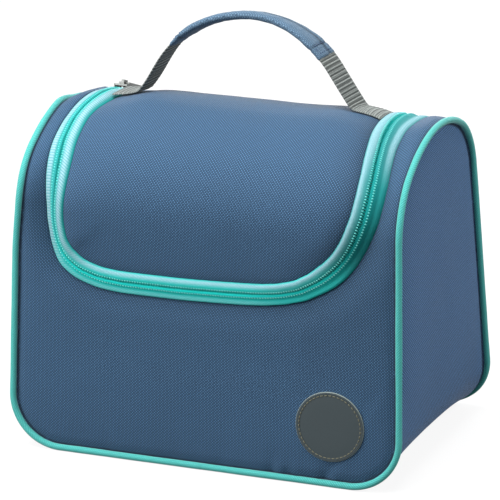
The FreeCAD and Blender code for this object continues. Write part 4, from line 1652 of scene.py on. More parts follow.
        # Painted shade on the lid beside the zipper, strongest beside the right leg, and in the
        # seam.
        least = self.lid_shade_least
        shaded = self.lid_shade * (least + (1 - least) * self.right_leg(flat))
        shaded *= np.exp(-gap / self.lid_shade_reach)
        dark = np.maximum(painted_seam_shade(gap) * SEAM_SHADE_SHARE, shaded)
        item = new_mesh(
            "lid_cloth", wrap_points(flat, self.lid_rise(flat)), patch.faces,
            self.finishes.cloth, DRAPE.moved(flat), dark,
        )
        return self.finish(item, Part.LID, ("lid_panel", "lid_foam", "lid_hinge_fold"))

    def build_gusset(self) -> Piece:
        """Both sides and the base in one cloth.

        Returns:
            The cloth.
        """
        gusset = Gusset()
        patch = Patch([gusset.loop(PIPING_EDGE[0], step=0.003)])
        flat = patch.flat
        gap = nearest(flat, patch.loops[0])
        height = gusset.at(flat[:, 0])[0][:, 1]
        on_side = np.clip((height - self.side_foot[0]) / self.side_foot[1], 0, 1)
        rise = beside_cord(gap, self.side_lift)
        rise += self.side_crown * on_side * risen(gap, self.side_reach)
        corner = bell(np.abs(flat[:, 0]) - gusset.corner_mid, self.corner_width)
        rise -= self.corner_sag * corner * risen(gap, self.corner_reach)
        swell = risen(gap, self.SWELL_REACH) * on_side
        rise += swell * noise_rise(flat, self.side_waves, seed=11.3)
        level = np.abs(flat[:, 0]) < gusset.tub.level
        rise = np.where(level, np.minimum(rise, 0.0) * self.base_share, rise)
        roll, reach = self.base_roll
        rise -= roll * np.exp(-gap / reach) * (height < self.base_top)
        # Painted shade in the seam beside the corded edge.
        item = new_mesh(
            "side_and_base_cloth", gusset.points(flat, rise), [face[::-1] for face in patch.faces],
            self.finishes.lit_side_cloth, flat, painted_seam_shade(np.abs(gap - SEAM_REACH)) * SEAM_SHADE_SHARE,
        )
        nodes = ("side_panel_left", "side_panel_right", "base_panel")
        nodes += ("side_foam_left", "side_foam_right", "base_foam")
        return self.finish(item, Part.BAG, nodes)

    def finish(self, item: Piece, part: Part, nodes: Sequence[str]) -> Piece:
        """Thickens a cloth and ties it to the frame for the solids that it stands for."""
        tie(thicken(item, self.thickness), part, nodes)
        return item


@dataclass
class Gusset:
    """The strip that runs down one side, under the base and up the other side."""

    MID_SHARE = 0.45
    tub: Tub = SHAPE.body
    inset: float = 0.0

    def __post_init__(self) -> None:
        """Measures the strip from the middle of the base."""
        tub = self.tub
        self.corner_end = tub.level + tub.sweep * tub.corner
        self.corner_mid = tub.level + self.MID_SHARE * tub.sweep * tub.corner
        self.foot = tub.corner_at(tub.sweep)[1]

    def reach(self, height: float) -> float:
        """Distance along the strip at which its side passes a height.

        Args:
            height: The height.

        Returns:
            The distance from the middle of the base.
        """
        tub = self.tub
        if height < self.foot:
            turn = math.acos(max(-1.0, 1 - (height - tub.floor) / tub.corner))
            return tub.level + turn * tub.corner
        return self.corner_end + (height - self.foot) / math.cos(tub.lean)

    def at(self, reach: Array) -> tuple[Array, Array]:
        """Places and normals in the front view.

        Args:
            reach: Distances from the middle of the base, negative to the left.

        Returns:
            X and Z, and the outward normals.
        """
        tub = self.tub
        side = np.where(reach < 0, -1.0, 1.0)
        far = np.abs(reach)
        turn = np.clip((far - tub.level) / tub.corner, 0, tub.sweep)
        up = np.maximum(far - self.corner_end, 0)
        across = np.minimum(far, tub.level) + tub.corner * np.sin(turn) - up * math.sin(tub.lean)
        height = tub.floor + tub.corner * (1 - np.cos(turn)) + up * math.cos(tub.lean)
        normal = np.stack([side * np.sin(turn), -np.cos(turn)], axis=1)
        return np.stack([side * across, height], axis=1), normal

    def points(self, flat: Array, rise: Array) -> Array:
        """Places in space of flat points that stand above the strip by a height."""
        place, normal = self.at(flat[:, 0])
        return SLUMP.settled(np.insert(place + normal * rise[:, None], 1, flat[:, 1], axis=1))

    def loop(self, out: float, step: float) -> Line2:
        """Outline of the flat strip.

        Args:
            out: Distance that the edge stands outside the side outline.
            step: Distance between samples.

        Returns:
            Distance along the strip and Y of each point.
        """
        count = int(PROFILE.total / step)
        along = np.linspace(0, PROFILE.total, count)
        place, outward = PROFILE.at(along)
        place = place + outward * (out - self.inset)
        right = [(self.reach(z), y) for y, z in place if z > self.tub.floor]
        base_count = int(self.tub.level / step)
        base = [self.tub.level * i / base_count for i in range(base_count)]
        lower = [(reach, right[0][1]) for reach in base]
        upper = [(reach, right[-1][1]) for reach in base[::-1]]
        half = lower + right + upper
        return half + mirrored(half)[::-1]


# Corded edge


@dataclass
class Piping:
    """The corded edge that runs round the front, over the dome and round the back."""

    finishes: Finishes
    seat: float = 0.00145
    height: float = 0.00205
    radius: float = 0.002
    sides: int = 14
    step: float = 0.0018
    least: float = 0.0006
    lowest: float = 0.00005
    wobbles: Pairs = ((0.05, 0.00025), (0.012, 0.00008))
    swells: Pairs = ((0.02, 0.05), (0.007, 0.025))

    def build(self) -> Piece:
        """Makes the cord as one closed ring.

        Returns:
            The cord.
        """
        half = edge_line(self.seat, self.height, self.step)
        loop = np.array(tidy_loop(half + mirrored(half)[::-1], self.least))
        wobble = noise_rise(loop, self.wobbles, seed=5.2)
        path = wrap_points(loop, self.seat + wobble)
        outward = wrap_points(loop, 0.01) - wrap_points(loop, 0.0)
        radius = self.radius * (1 + noise_rise(loop, self.swells, seed=8.4))
        points, faces, cloth = tube_mesh(path, radius, self.sides, True, outward)
        points[:, 2] = np.maximum(points[:, 2], self.lowest)
        item = new_mesh("corded_edge", points, faces, self.finishes.cord, cloth)
        return tie(item, Part.BAG, ("piping",))


# Zipper


@dataclass
class Chain:
    """Middle line of the closed chain, from its left end to its right end."""

    middle: Array
    toward: Array
    outward: Array
    lengths: Array

    def at(self, along: Array) -> list[Array]:
        """Places, directions towards the lid and outward directions at distances."""
        lines = (self.middle, self.toward, self.outward)
        return [sampled(along, self.lengths, line) for line in lines]


@dataclass
class Zipper:
    """Tapes, coils and their sewing along the U.

    Places and heights across the tapes are in millimetres, other lengths in metres.
    """

    FRONT_STEP = (0.113, 0.03)
    UPPER_STEP = (0.18, 0.04)
    CORNER_STEP = (0.025, 0.035)
    CORNER_SHADE = 0.85
    LEG_SHADE_SIDE = (0.06, 0.03)
    LEG_SHADE_UP = (0.12, 0.03)
    LEG_SHADE_SHARES = (0.6, 0.55)
    ZONES = ("front", "left", "right", "top")
    finishes: Finishes
    places: tuple[float, ...] = (1.35, 1.6, 2.3, 3.2, 4.1, 4.8, 5.3, 6.2, 7.3, 8.1, 8.7, 9.2)
    HEIGHTS = {
        1: (1.1, 1.4, 1.6, 1.6, 1.5, 1.36, 1.24, 0.95, 0.45, -0.15, -0.9, -1.5),
        -1: (1.1, 1.45, 1.7, 1.5, 0.85, 0.2, 0.0, 0.3, 0.35, -0.2, -0.9, -1.5),
    }
    front_heights: tuple[tuple[float, ...], ...] = (
        (2.3, 4.1, 5.3, 7.3, 8.1),
        (1.7, 0.85, 0.75, 1.7, 1.95),
    )
    coil_pitch: float = 0.00165
    coil_middle: float = 0.00092
    coil_half: float = 0.0008
    coil_rise: float = 0.0008
    coil_height: float = 0.0005
    wire: float = 0.0004
    coil_sink: float = 0.0009
    stitch_middle: float = 0.002
    stitch_rise: float = 0.0018
    stitch_size: Point3 = (0.00046, 0.0008, 0.00045)
    turn_steps: int = 10
    wire_sides: int = 5
    bead_grid: tuple[int, int] = (8, 3)
    bead_lifts: Point2 = (-0.5, 1.1)
    coil_back: float = 0.0212
    flat_from: float = 0.011
    flat_to: float = 0.019
    tape_thickness: float = 0.0006
    closed: float = 0.1
    closes: Point2 = (3.2, 1.85)
    closes_over: float = 0.0015
    flare: Point2 = (3.0, 8.5)
    end_flat: float = 0.8
    end_lift: float = 0.0005
    end_lifted: Point2 = (5.0, 8.5)
    shade_places: tuple[float, ...] = (1.3, 2.4, 3.4, 4.4, 5.4, 6.4, 7.6, 8.6)
    # Share of teal by zone: partly the tape's own teal beside the chain, partly painted shade and
    # light, paler on the lid's side and deeper on the right leg.
    TEAL_AND_PAINTED_SHADE = {
        (1, "front"): (1.0, 1.0, 0.95, 0.75, 0.4, 0.08, 0.0, 0.9),
        (1, "left"): (0.9, 0.75, 0.2, 0.0, 0.0, 0.2, 0.7, 1.0),
        (1, "right"): (0.9, 0.85, 0.75, 0.6, 0.35, 0.05, 0.0, 0.9),
        (1, "top"): (0.8, 0.3, 0.1, 0.0, 0.0, 0.0, 0.05, 0.9),
        (-1, "front"): (1.0, 1.0, 1.0, 1.0, 0.85, 0.6, 0.5, 1.0),
        (-1, "left"): (0.9, 0.9, 0.85, 0.5, 0.1, 0.0, 0.0, 0.9),
        (-1, "right"): (1.0, 1.0, 1.0, 0.97, 0.95, 0.95, 0.95, 1.0),
        (-1, "top"): (0.95, 0.85, 0.9, 0.8, 0.25, 0.1, 0.1, 0.95),
    }
    # Share of painted light on each leg: the tape's teal is bright at the front and deeper on the
    # legs.
    PAINTED_LEG_LIGHT = {1: 0.12, -1: 0.3}

    def sunk(self, along: Array) -> Array:
        """Share by which the ribs over the coils flatten out towards the stops."""
        first, last = (PROFILE.along_top(back) for back in (self.flat_from, self.flat_to))
        return ease(along, first, last - first)

    def strip(self, side: int, way: int) -> tuple[Array, list, Array, Array, Array]:
        """Half of a tape.

        Args:
            side: 1 for the lid's tape and -1 for the body's.
            way: 1 for the right half and -1 for the left.

        Returns:
            Points, faces, flat places, shares of teal and painted shade, and shares of painted
            light.
        """
        rows, cloths, seams, painted_light_shares = [], [], [], []
        chain_end = PROFILE.along_top(self.coil_back)
        shut = np.array(zip_line(side * self.closed * MM, ZIP_END))[:, 0]
        for far, rise in zip(self.places, self.HEIGHTS[side]):
            flat = np.array(zip_line(side * far * MM, ZIP_END))
            along = flat[:, 1]
            front = 1 - ease(along, *self.FRONT_STEP)
            flared = side < 0 and self.flare[0] < far < self.flare[1]
            rise = rise + (np.interp(far, *self.front_heights) - rise) * front * flared
            closing = ease(along, chain_end, self.closes_over)
            closing *= np.clip((self.closes[0] - far) / self.closes[1], 0, 1)
            flat[:, 0] += (shut - flat[:, 0]) * closing
            sunk = self.sunk(along)
            high = rise * MM * (1 - self.end_flat * sunk * (rise > 0))
            high += self.end_lift * sunk * (self.end_lifted[0] < far < self.end_lifted[1])
            flat = flat * np.array([way, 1])
            rows.append(wrap_points(flat, high + DRAPE.puff(flat)))
            across = np.full(len(flat), far * MM * side)
            cloths.append(np.stack([across, run_lengths(rows[-1])], axis=1))
            seams.append(self.shade(far, side, way, flat))
            painted_light_shares.append(1 + (self.PAINTED_LEG_LIGHT[way] - 1) * ease(along, *self.FRONT_STEP))
        faces = grid_faces(len(rows), len(rows[0]))
        if side * way > 0:
            faces = [face[::-1] for face in faces]
        cloth = np.concatenate(cloths) * [1, way]
        return np.concatenate(rows), faces, cloth, np.concatenate(seams), np.concatenate(painted_light_shares)

    def shade(self, far: float, side: int, way: int, flat: Array) -> Array:
        """Share of teal at a distance from the chain: partly the tape's own teal, partly painted
        shade and light.

        Args:
            far: Distance from the chain in millimetres.
            side: 1 for the lid's tape and -1 for the body's.
            way: 1 for the right half and -1 for the left.
            flat: Flat points along the strip.

        Returns:
            A share for each point.
        """
        front, left, right, top = (
            float(np.interp(far, self.shade_places, self.TEAL_AND_PAINTED_SHADE[side, zone])) for zone in self.ZONES
        )
        across, along = flat.T
        upper = ease(along, *self.UPPER_STEP)
        beside = right + (top - right) * upper if way > 0 else left
        corner = self.CORNER_SHADE * ease(across, *self.CORNER_STEP)
        leg = np.maximum(ease(along, *self.FRONT_STEP), corner)
        return front + (beside - front) * leg

    def tape(self, name: str, side: int, part: Part, nodes: Sequence[str]) -> Piece:
        """A tape made of a strip and its mirror image.

        Args:
            name: Name of the piece.
            side: 1 for the lid's tape and -1 for the body's.
            part: The body that carries it.
            nodes: The solids that it stands for.

        Returns:
            The tape.
        """
        strips = [self.strip(side, way) for way in (1, -1)]
        points, faces = join_meshes([strip[:2] for strip in strips])
        cloth, seam, dye = (np.concatenate([strip[k] for strip in strips]) for k in (2, 3, 4))
        item = new_mesh(name, points, faces, self.finishes.tape, cloth, seam)
        # The tape carries its share of painted light, bright at the front.
        item.data.attributes.new("dye", "FLOAT", "POINT").data.foreach_set("value", dye)
        return tie(thicken(weld(item), self.tape_thickness), part, nodes)

    def chain(self) -> Chain:
        """Lays out the chain between the tapes.

        Returns:
            The chain.
        """
        end = PROFILE.along_top(self.coil_back)
        lines = []
        for offset in (0.0, 0.001):
            flat = np.array(both_sides(zip_line(offset, end)))
            sunk = self.sunk(flat[:, 1]) * self.coil_sink
            lines.append(wrap_points(flat, DRAPE.puff(flat) - sunk))
        middle = lines[0]
        toward = lines[1] - middle
        outward = np.cross(np.gradient(middle, axis=0), toward)
        return Chain(middle, normed(toward), normed(outward), run_lengths(middle))

    def coil(self, chain: Chain, side: int) -> Mesh:
        """One row of the coil.

        Args:
            chain: The middle line of the chain.
            side: 1 for the lid's row and -1 for the body's.

        Returns:
            Points and faces.
        """
        total = chain.lengths[-1]
        turns = int(total / self.coil_pitch)
        angle = np.linspace(0, 2 * math.pi * turns, turns * self.turn_steps + 1)
        phase = 0.0 if side > 0 else self.coil_pitch / 2
        at = np.clip(phase + angle / (2 * math.pi) * self.coil_pitch, 0, total)
        place, lid_way, away = chain.at(at)
        wide = self.coil_middle + self.coil_half * np.cos(angle)
        high = self.coil_rise + self.coil_height * np.sin(angle)
        path = place + lid_way * (side * wide)[:, None] + away * high[:, None]
        return tube_mesh(path, np.full(len(path), self.wire), self.wire_sides, False)[:2]

    def bead(self) -> Mesh:
        """A round-topped stitch of unit size.

        Returns:
            Points and faces.
        """
        around, rings = self.bead_grid
        turns = np.arange(around) * 2 * math.pi / around
        points = [
            (math.cos(turn) * math.cos(lift), math.sin(turn) * math.cos(lift), math.sin(lift))
            for lift in np.linspace(*self.bead_lifts, rings)
            for turn in turns
        ]
        last, tip = (rings - 1) * around, rings * around
        faces = grid_faces(rings, around, True)
        faces += [(last + i, last + (i + 1) % around, tip) for i in range(around)]
        return np.array(points + [(0.0, 0.0, 1.0)]), faces

    def sewing(self, chain: Chain, side: int) -> Mesh:
        """The row of stitches that holds one row of the coil to its tape.

        Args:
            chain: The middle line of the chain.
            side: 1 for the lid's row and -1 for the body's.

        Returns:
            Points and faces.
        """
        margin = self.coil_pitch / 2
        at = np.arange(margin, chain.lengths[-1] - margin, self.coil_pitch)
        place, lid_way, away = chain.at(at)
        centre = place + lid_way * (side * self.stitch_middle) + away * self.stitch_rise
        bead, faces = self.bead()
        sized = bead * np.array(self.stitch_size)
        axes = np.stack([np.cross(lid_way, away), lid_way, away], axis=1)
        return join_meshes([(middle + sized @ axis, faces) for middle, axis in zip(centre, axes)])

    def build(self) -> list[Piece]:
        """Makes the tapes, the coils and the sewing.

        Returns:
            The pieces.
        """
        made = [
            self.tape("zipper_tape_outer", -1, Part.BAG, ("zipper_tape_body", "zipper_tape_ends")),
            self.tape("zipper_tape_inner", 1, Part.LID, ("zipper_tape_lid",)),
        ]
        chain = self.chain()
        rows = (
            ("outer", -1, Part.BAG, ("zipper_teeth_body",)),
            ("inner", 1, Part.LID, ("zipper_teeth_lid",)),
        )
        for label, side, part, nodes in rows:
            mesh, finish = self.coil(chain, side), self.finishes.coil
            made.append(self.row(f"zipper_coil_{label}", mesh, finish, part, nodes))
        for label, side, part, _ in rows:
            mesh, finish = self.sewing(chain, side), self.finishes.coil_thread
            made.append(self.row(f"zipper_sewing_{label}", mesh, finish, part))
        return made

    def row(
        self, name: str, mesh: Mesh, finish: Material, part: Part, nodes: Sequence[str] = ()
    ) -> Piece:
        """A coil or its sewing, with painted shade on the legs.

        Args:
            name: Name of the piece.
            mesh: Its points and faces.
            finish: Its material.
            part: The body that carries it.
            nodes: The solids that it stands for.

        Returns:
            The piece.
        """
        across, _, up = mesh[0].T
        # Painted shade on the legs, a little stronger on the right.
        leg_shade = ease(np.abs(across), *self.LEG_SHADE_SIDE) * ease(up, *self.LEG_SHADE_UP)
        leg_shade *= np.where(across > 0, *self.LEG_SHADE_SHARES)
        item = new_mesh(name, *mesh, finish, mesh[0][:, :2], leg_shade)
        return tie(item, part, nodes)


# Lining


@dataclass
class Lining:
    """The film that lines the inside, turned over the foam's edges round the opening."""

    FOLD_POINTS = 30
    WAVES = ((0.05, 0.0006),)
    SIDE_WAVES = ((0.05, 0.0005),)
    EDGE_REACH = 0.01
    FOLD_BACK = 0.008
    finishes: Finishes
    turn_up: float = 0.0016

    def sheet_rim(self, line: Line2, closed: bool = False) -> Mesh:
        """A band from the lining's edge up to the tape.

        Args:
            line: Flat edge of the lining.
            closed: Whether the edge joins its start.

        Returns:
            Points and faces.
        """
        flat = np.array(line)
        top = DRAPE.puff(flat) - self.turn_up
        levels = [
            wrap_points(flat, -SHAPE.wall + (top + SHAPE.wall) * share) for share in (0.0, 0.5, 1.0)
        ]
        return np.concatenate(levels), grid_faces(len(levels), len(flat), closed)

    def sag(self, patch: Patch, edge: Line2, seed: float) -> Array:
        """Slow waves of the film, none at its edge."""
        waves = noise_rise(patch.flat, self.WAVES, seed)
        return waves * np.clip(nearest(patch.flat, edge) / self.EDGE_REACH, 0, 1)

    def build_wrap(self) -> Piece:
        """Lining of the front and the back.

        Returns:
            The lining.
        """
        edge = edge_line(-SHAPE.wall, SHAPE.wall, step=0.004)
        outer = edge + mirrored(edge)[::-1]
        hole = tidy_loop(lid_opening(SHAPE.channel, self.FOLD_POINTS))
        patch = Patch([outer, hole], spacing=0.008, rings=(0.002, 0.005))
        sheet = wrap_points(patch.flat, -SHAPE.wall + self.sag(patch, outer + hole, seed=2.2))
        mesh = join_meshes([(sheet, patch.faces), self.sheet_rim(hole, True)])
        return self.finish("lining_front_back", mesh, ("front_lining", "back_lining"))

    def build_sides(self) -> Piece:
        """Lining of the sides and the base.

        Returns:
            The lining.
        """
        inner = SHAPE.wall
        strip = Gusset(SHAPE.body.grown(-inner), inset=inner)
        patch = Patch([strip.loop(out=0.0012, step=0.004)], spacing=0.008, rings=(0.002, 0.005))
        points = strip.points(patch.flat, noise_rise(patch.flat, self.SIDE_WAVES, seed=4.6))
        nodes = ("side_lining_left", "side_lining_right", "base_lining")
        return self.finish("lining_sides_base", (points, patch.faces), nodes)

    def build_lid(self) -> Piece:
        """Lining of the lid, which runs on over the fold.

        Returns:
            The lining.
        """
        loop = tidy_loop(lid_outline(SHAPE.channel, self.FOLD_POINTS))
        rim = both_sides(before_fold(SHAPE.channel))
        patch = Patch([loop], spacing=0.006, rings=(0.002, 0.004))
        sheet = wrap_points(patch.flat, -SHAPE.wall + self.sag(patch, loop, seed=9.1))
        mesh = join_meshes([(sheet, patch.faces), self.sheet_rim(rim)])
        return self.finish("lining_lid", mesh, ("lid_lining",), Part.LID)

    def finish(self, name: str, mesh: Mesh, nodes: Sequence[str], part: Part = Part.BAG) -> Piece:
        """Makes a lining for the solids that it stands for and ties it to the frame."""
        item = weld(new_mesh(name, *mesh, self.finishes.lining))
        return tie(item, part, nodes)


# Carrying handle


@dataclass
class Handle:
    """A strap of ribbed webbing with a folded cloth grip sewn round its middle."""

    PULL_SIDE = (0.005, 0.035)
    PULL_UP = (0.212, 0.022)
    UPRIGHT = (0.2085, 0.004)
    GROOVE_SHADE = (0.25, 0.6)
    FLAT_END = (0.78, 0.16)
    finishes: Finishes
    outer: Outer
    back: float = -0.0075
    lean: float = math.radians(2.9)
    left_pull: float = 0.0021
    apex: float = 0.2611
    radius: float = 0.064
    slope: float = math.radians(55)
    bend: float = 0.008
    web_width: float = 0.025
    web_thickness: float = 0.0015
    web_end: float = 0.0865
    web_edge: float = 0.55
    overlap: float = 0.006
    rib: float = 0.0026
    rib_height: float = 0.00026
    grip_half: float = 0.047
    grip_end_width: float = 0.0262
    grip_waist: float = 0.0155
    grip_thickness: float = 0.0052
    grip_roll: float = math.radians(8)
    grip_flat: float = 0.3
    waist_reach: float = 1.12
    tip_round: Point2 = (0.55, 0.02)  # least, reach
    crease: Point3 = (0.0005, 0.28, 0.0011)  # depth, place, width
    seam_sink: Point2 = (0.0005, 0.012)  # depth, width
    seam_shades: Point2 = (0.8, 0.55)  # crease, seam
    ripple: Point3 = (0.0002, 14, 90)  # height, rates along and across
    under: float = 0.05
    lie: float = 0.0002
    bend_soft: float = 0.0022
    step: float = 0.00045
    web_points: int = 17
    grip_grid: tuple[int, int] = (121, 40)
    grip_seam: float = 0.845
    stitch_end: float = 0.945
    stitch_inset: float = 0.003
    stitch_sink: float = 0.0002
    stitch_points: int = 12
    stitch: Point3 = (0.0024, 0.0008, 0.0005)  # length, gap, thickness
    side_round: float = 0.62
    top_round: float = 0.8

    def path(self) -> Array:
        """X, Z and normal along the middle of the strap's right half, from the top outwards.

        Returns:
            A row for each sample.
        """
        centre = np.array([0.0, self.apex - self.radius])
        out = unit(math.pi / 2 - self.slope)
        down = np.array([out[1], -out[0]])
        leg_top = centre + out * self.radius
        flat_height = SHAPE.arch.height + self.web_thickness / 2
        leg_end = flat_height + self.bend * (1 - math.cos(self.slope))
        length = (leg_top[1] - leg_end) / math.sin(self.slope)
        bend_centre = leg_top + down * length + out * self.bend
        found = []
        for turn in np.arange(0, self.slope, self.step / self.radius):
            normal = unit(math.pi / 2 - turn)
            found.append((*(centre + normal * self.radius), *normal))
        for run in np.arange(0, length, self.step):
            found.append((*(leg_top + down * run), *out))
        for turn in np.arange(0, self.slope, self.step / self.bend):
            normal = unit(math.pi / 2 - self.slope + turn)
            found.append((*(bend_centre - normal * self.bend), *normal))
        for across in np.arange(bend_centre[0], self.web_end, self.step):
            found.append((across, flat_height, 0.0, 1.0))
        return np.array(found)

    def leaned(self, points: Array) -> Array:
        """Tips the upright handle back about the dome's axis, with its left leg drawn out.

        Args:
            points: Points of the upright handle.

        Returns:
            The moved points.
        """
        axis = SHAPE.arch.top
        forth, up = points[:, 1] - axis[0], points[:, 2] - axis[1]
        c, s = math.cos(self.lean), math.sin(self.lean)
        pulled = ease(-points[:, 0], *self.PULL_SIDE) * ease(points[:, 2], *self.PULL_UP)
        across = points[:, 0] - self.left_pull * pulled
        back, height = axis[0] + forth * c + up * s, axis[1] - forth * s + up * c
        return np.stack([across, back, height], axis=1)

    def lid_top(self, across: Array, back: Array) -> Array:
        """Height of the lid's cloth under the strap at each X and Y."""
        flat = np.stack([across, [PROFILE.along_top(y) for y in back]], axis=1)
        return wrap_points(flat, self.outer.lid_rise(flat))[:, 2]

    def leg(self, path: Array, ribs: Array, outline: Sequence[Point2], way: int) -> Array:
        """Points of one leg of the webbing, ring by ring.

        Args:
            path: Middle line of the leg.
            ribs: Height of the ribs along it.
            outline: Share of the half width and face of each point round the webbing.
            way: 1 for the right leg and -1 for the left.

        Returns:
            The points.
        """
        half, thick = self.web_width / 2, self.web_thickness / 2
        columns = []
        for share, face in outline:
            edge = 1 - self.web_edge * abs(share) ** 8
            lift = face * (thick * edge + ribs * (1 - abs(share) ** 10))
            across = way * (path[:, 0] + path[:, 2] * lift)
            back = np.full(len(path), self.back + share * half)
            height = path[:, 1] + path[:, 3] * lift
            column = self.leaned(np.stack([across, back, height], axis=1))
            rest = self.lid_top(column[:, 0], column[:, 1]) + self.lie + thick + lift
            over = column[:, 2] - rest
            column[:, 2] = rest + (over + np.sqrt(over**2 + self.bend_soft**2)) / 2
            columns.append(column)
        return np.stack(columns, axis=1).reshape(-1, 3)

    def build_strap(self) -> Piece:
        """Both legs of the webbing, sewn down flat on the lid.

        Returns:
            The strap.
        """
        path = self.path()
        path = path[path[:, 0] > self.grip_half - self.overlap]
        along = run_lengths(path[:, :2])
        wave = np.sin(2 * math.pi * along / self.rib)
        shares = np.linspace(-1, 1, self.web_points)
        outline = [(share, 1.0) for share in shares] + [(share, -1.0) for share in shares[::-1]]
        count, around = len(path), len(outline)
        faces = [(a, d, c, b) for a, b, c, d in grid_faces(count, around, True)]
        faces += [cap[::-1] for cap in end_caps(count, around)]
        right, left = (self.leg(path, self.rib_height * wave, outline, way) for way in (1, -1))
        points, faces = join_meshes([(right, faces), (left, [face[::-1] for face in faces])])
        # Painted shade in the rib grooves, stronger on the legs and the top than on the flat ends.
        depth = self.GROOVE_SHADE[0] + self.GROOVE_SHADE[1] * ease(path[:, 1], *self.UPRIGHT)
        groove = np.repeat(depth * ((1 - wave) / 2) ** 1.5, around)
        places = np.tile([share * self.web_width / 2 for share, _ in outline], count)
        cloth = np.stack([places, np.repeat(along, around)], axis=1)
        item = new_mesh(
            "handle_strap", points, faces, self.finishes.webbing,
            np.tile(cloth, (2, 1)), np.tile(groove, 2),
        )
        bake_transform(item)
        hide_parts("handle_webbing")
        return item

    def section(self, share: float) -> tuple[float, float]:
        """Section of the grip at a place along it.

        Args:
            share: Share of half the grip's length.

        Returns:
            Half width and half thickness.
        """
        waist = float(smooth(1 - abs(share) * self.waist_reach))
        half = self.grip_end_width / 2 * (1 - waist) + self.grip_waist / 2 * waist
        flat_end = float(ease(abs(share), *self.FLAT_END))
        return half, self.grip_thickness / 2 * (1 - self.grip_flat * flat_end)

    @property
    def reach(self) -> float:
        """Turn at which the grip ends."""
        return math.asin(self.grip_half / self.radius)

    def round_arc(self, turn: Array, out: Array, forth: Array) -> Array:
        """Points on the grip's arc: turn from the top, distance from its centre and backwards."""
        height = self.apex - self.radius + np.cos(turn) * out
        return self.leaned(np.stack([np.sin(turn) * out, self.back + forth, height], axis=1))

    def build_grip(self) -> Piece:
        """The folded cloth grip.

        Returns:
            The grip.
        """
        count, around = self.grip_grid
        points, cloth, seam = [], [], []
        depth, place, width = self.crease
        sink, spread = self.seam_sink
        tip, tip_reach = self.tip_round
        rough, along_rate, across_rate = self.ripple
        for turn in np.linspace(-self.reach, self.reach, count):
            share = turn / self.reach
            half, thick = self.section(share)
            thick *= tip + (1 - tip) * math.sqrt(min(1.0, (1 - abs(share)) / tip_reach))
            sewn = math.exp(-(((abs(share) - self.grip_seam) / spread) ** 2))
            roll = self.grip_roll * (1 - abs(share) ** 2)
            for j in range(around):
                c, s = unit(2 * math.pi * j / around)
                across = math.copysign(abs(c) ** self.side_round, c) * half
                up = math.copysign(abs(s) ** self.top_round, s) * thick
                crease = math.exp(-(((across - place * half) / width) ** 2)) if s > 0 else 0.0
                up -= (depth * crease + sink * sewn) * (1 if s > 0 else -1)
                up += rough * noise.noise((turn * along_rate, across * across_rate, 1.7))
                out = self.radius + up * math.cos(roll) - across * math.sin(roll)
                points.append((turn, out, across * math.cos(roll) + up * math.sin(roll)))
                cloth.append((turn * self.radius, across + (self.under if s < 0 else 0)))
                # Painted shade in the crease and at the sewn seams.
                seam.append(min(1.0, self.seam_shades[0] * crease + self.seam_shades[1] * sewn))
        item = new_mesh(
            "grip_cloth", self.round_arc(*np.array(points).T),
            grid_faces(count, around, True) + end_caps(count, around),
            self.finishes.grip, np.array(cloth), np.array(seam),
        )
        tie(item, Part.HANDLE, ("handle_grip",))
        return item

    def build_stitches(self) -> Piece:
        """Box stitches that hold the grip's ends to the webbing.

        Returns:
            The stitches.
        """
        meshes = []
        near, far, count = self.grip_seam, self.stitch_end, self.stitch_points
        edge = self.section(near)[0]
        half = edge - self.stitch_inset
        corners = [(near, -half), (near, half), (far, half), (far, -half), (near, -half)]
        for side in (-1, 1):
            for (a, b), (c, d) in zip(corners, corners[1:]):
                shares, across = np.linspace(a, c, count), np.linspace(b, d, count)
                turn = side * shares * self.reach
                thick = np.array([self.section(share)[1] for share in shares])
                roll = self.grip_roll * (1 - shares**2)
                flat = (1 - np.abs(across / edge) ** (1 / self.side_round * 2)) ** 0.4
                out = self.radius + thick * flat - self.stitch_sink - across * np.sin(roll)
                path = self.round_arc(turn, out, across * np.cos(roll))
                away = np.stack([np.sin(turn), np.zeros(count), np.cos(turn)], axis=1)
                meshes.append(stitch_mesh(path, away, *self.stitch))
        item = new_mesh("grip_stitches", *join_meshes(meshes), self.finishes.grip_thread)
        return tie(item, Part.HANDLE)


# Round patch


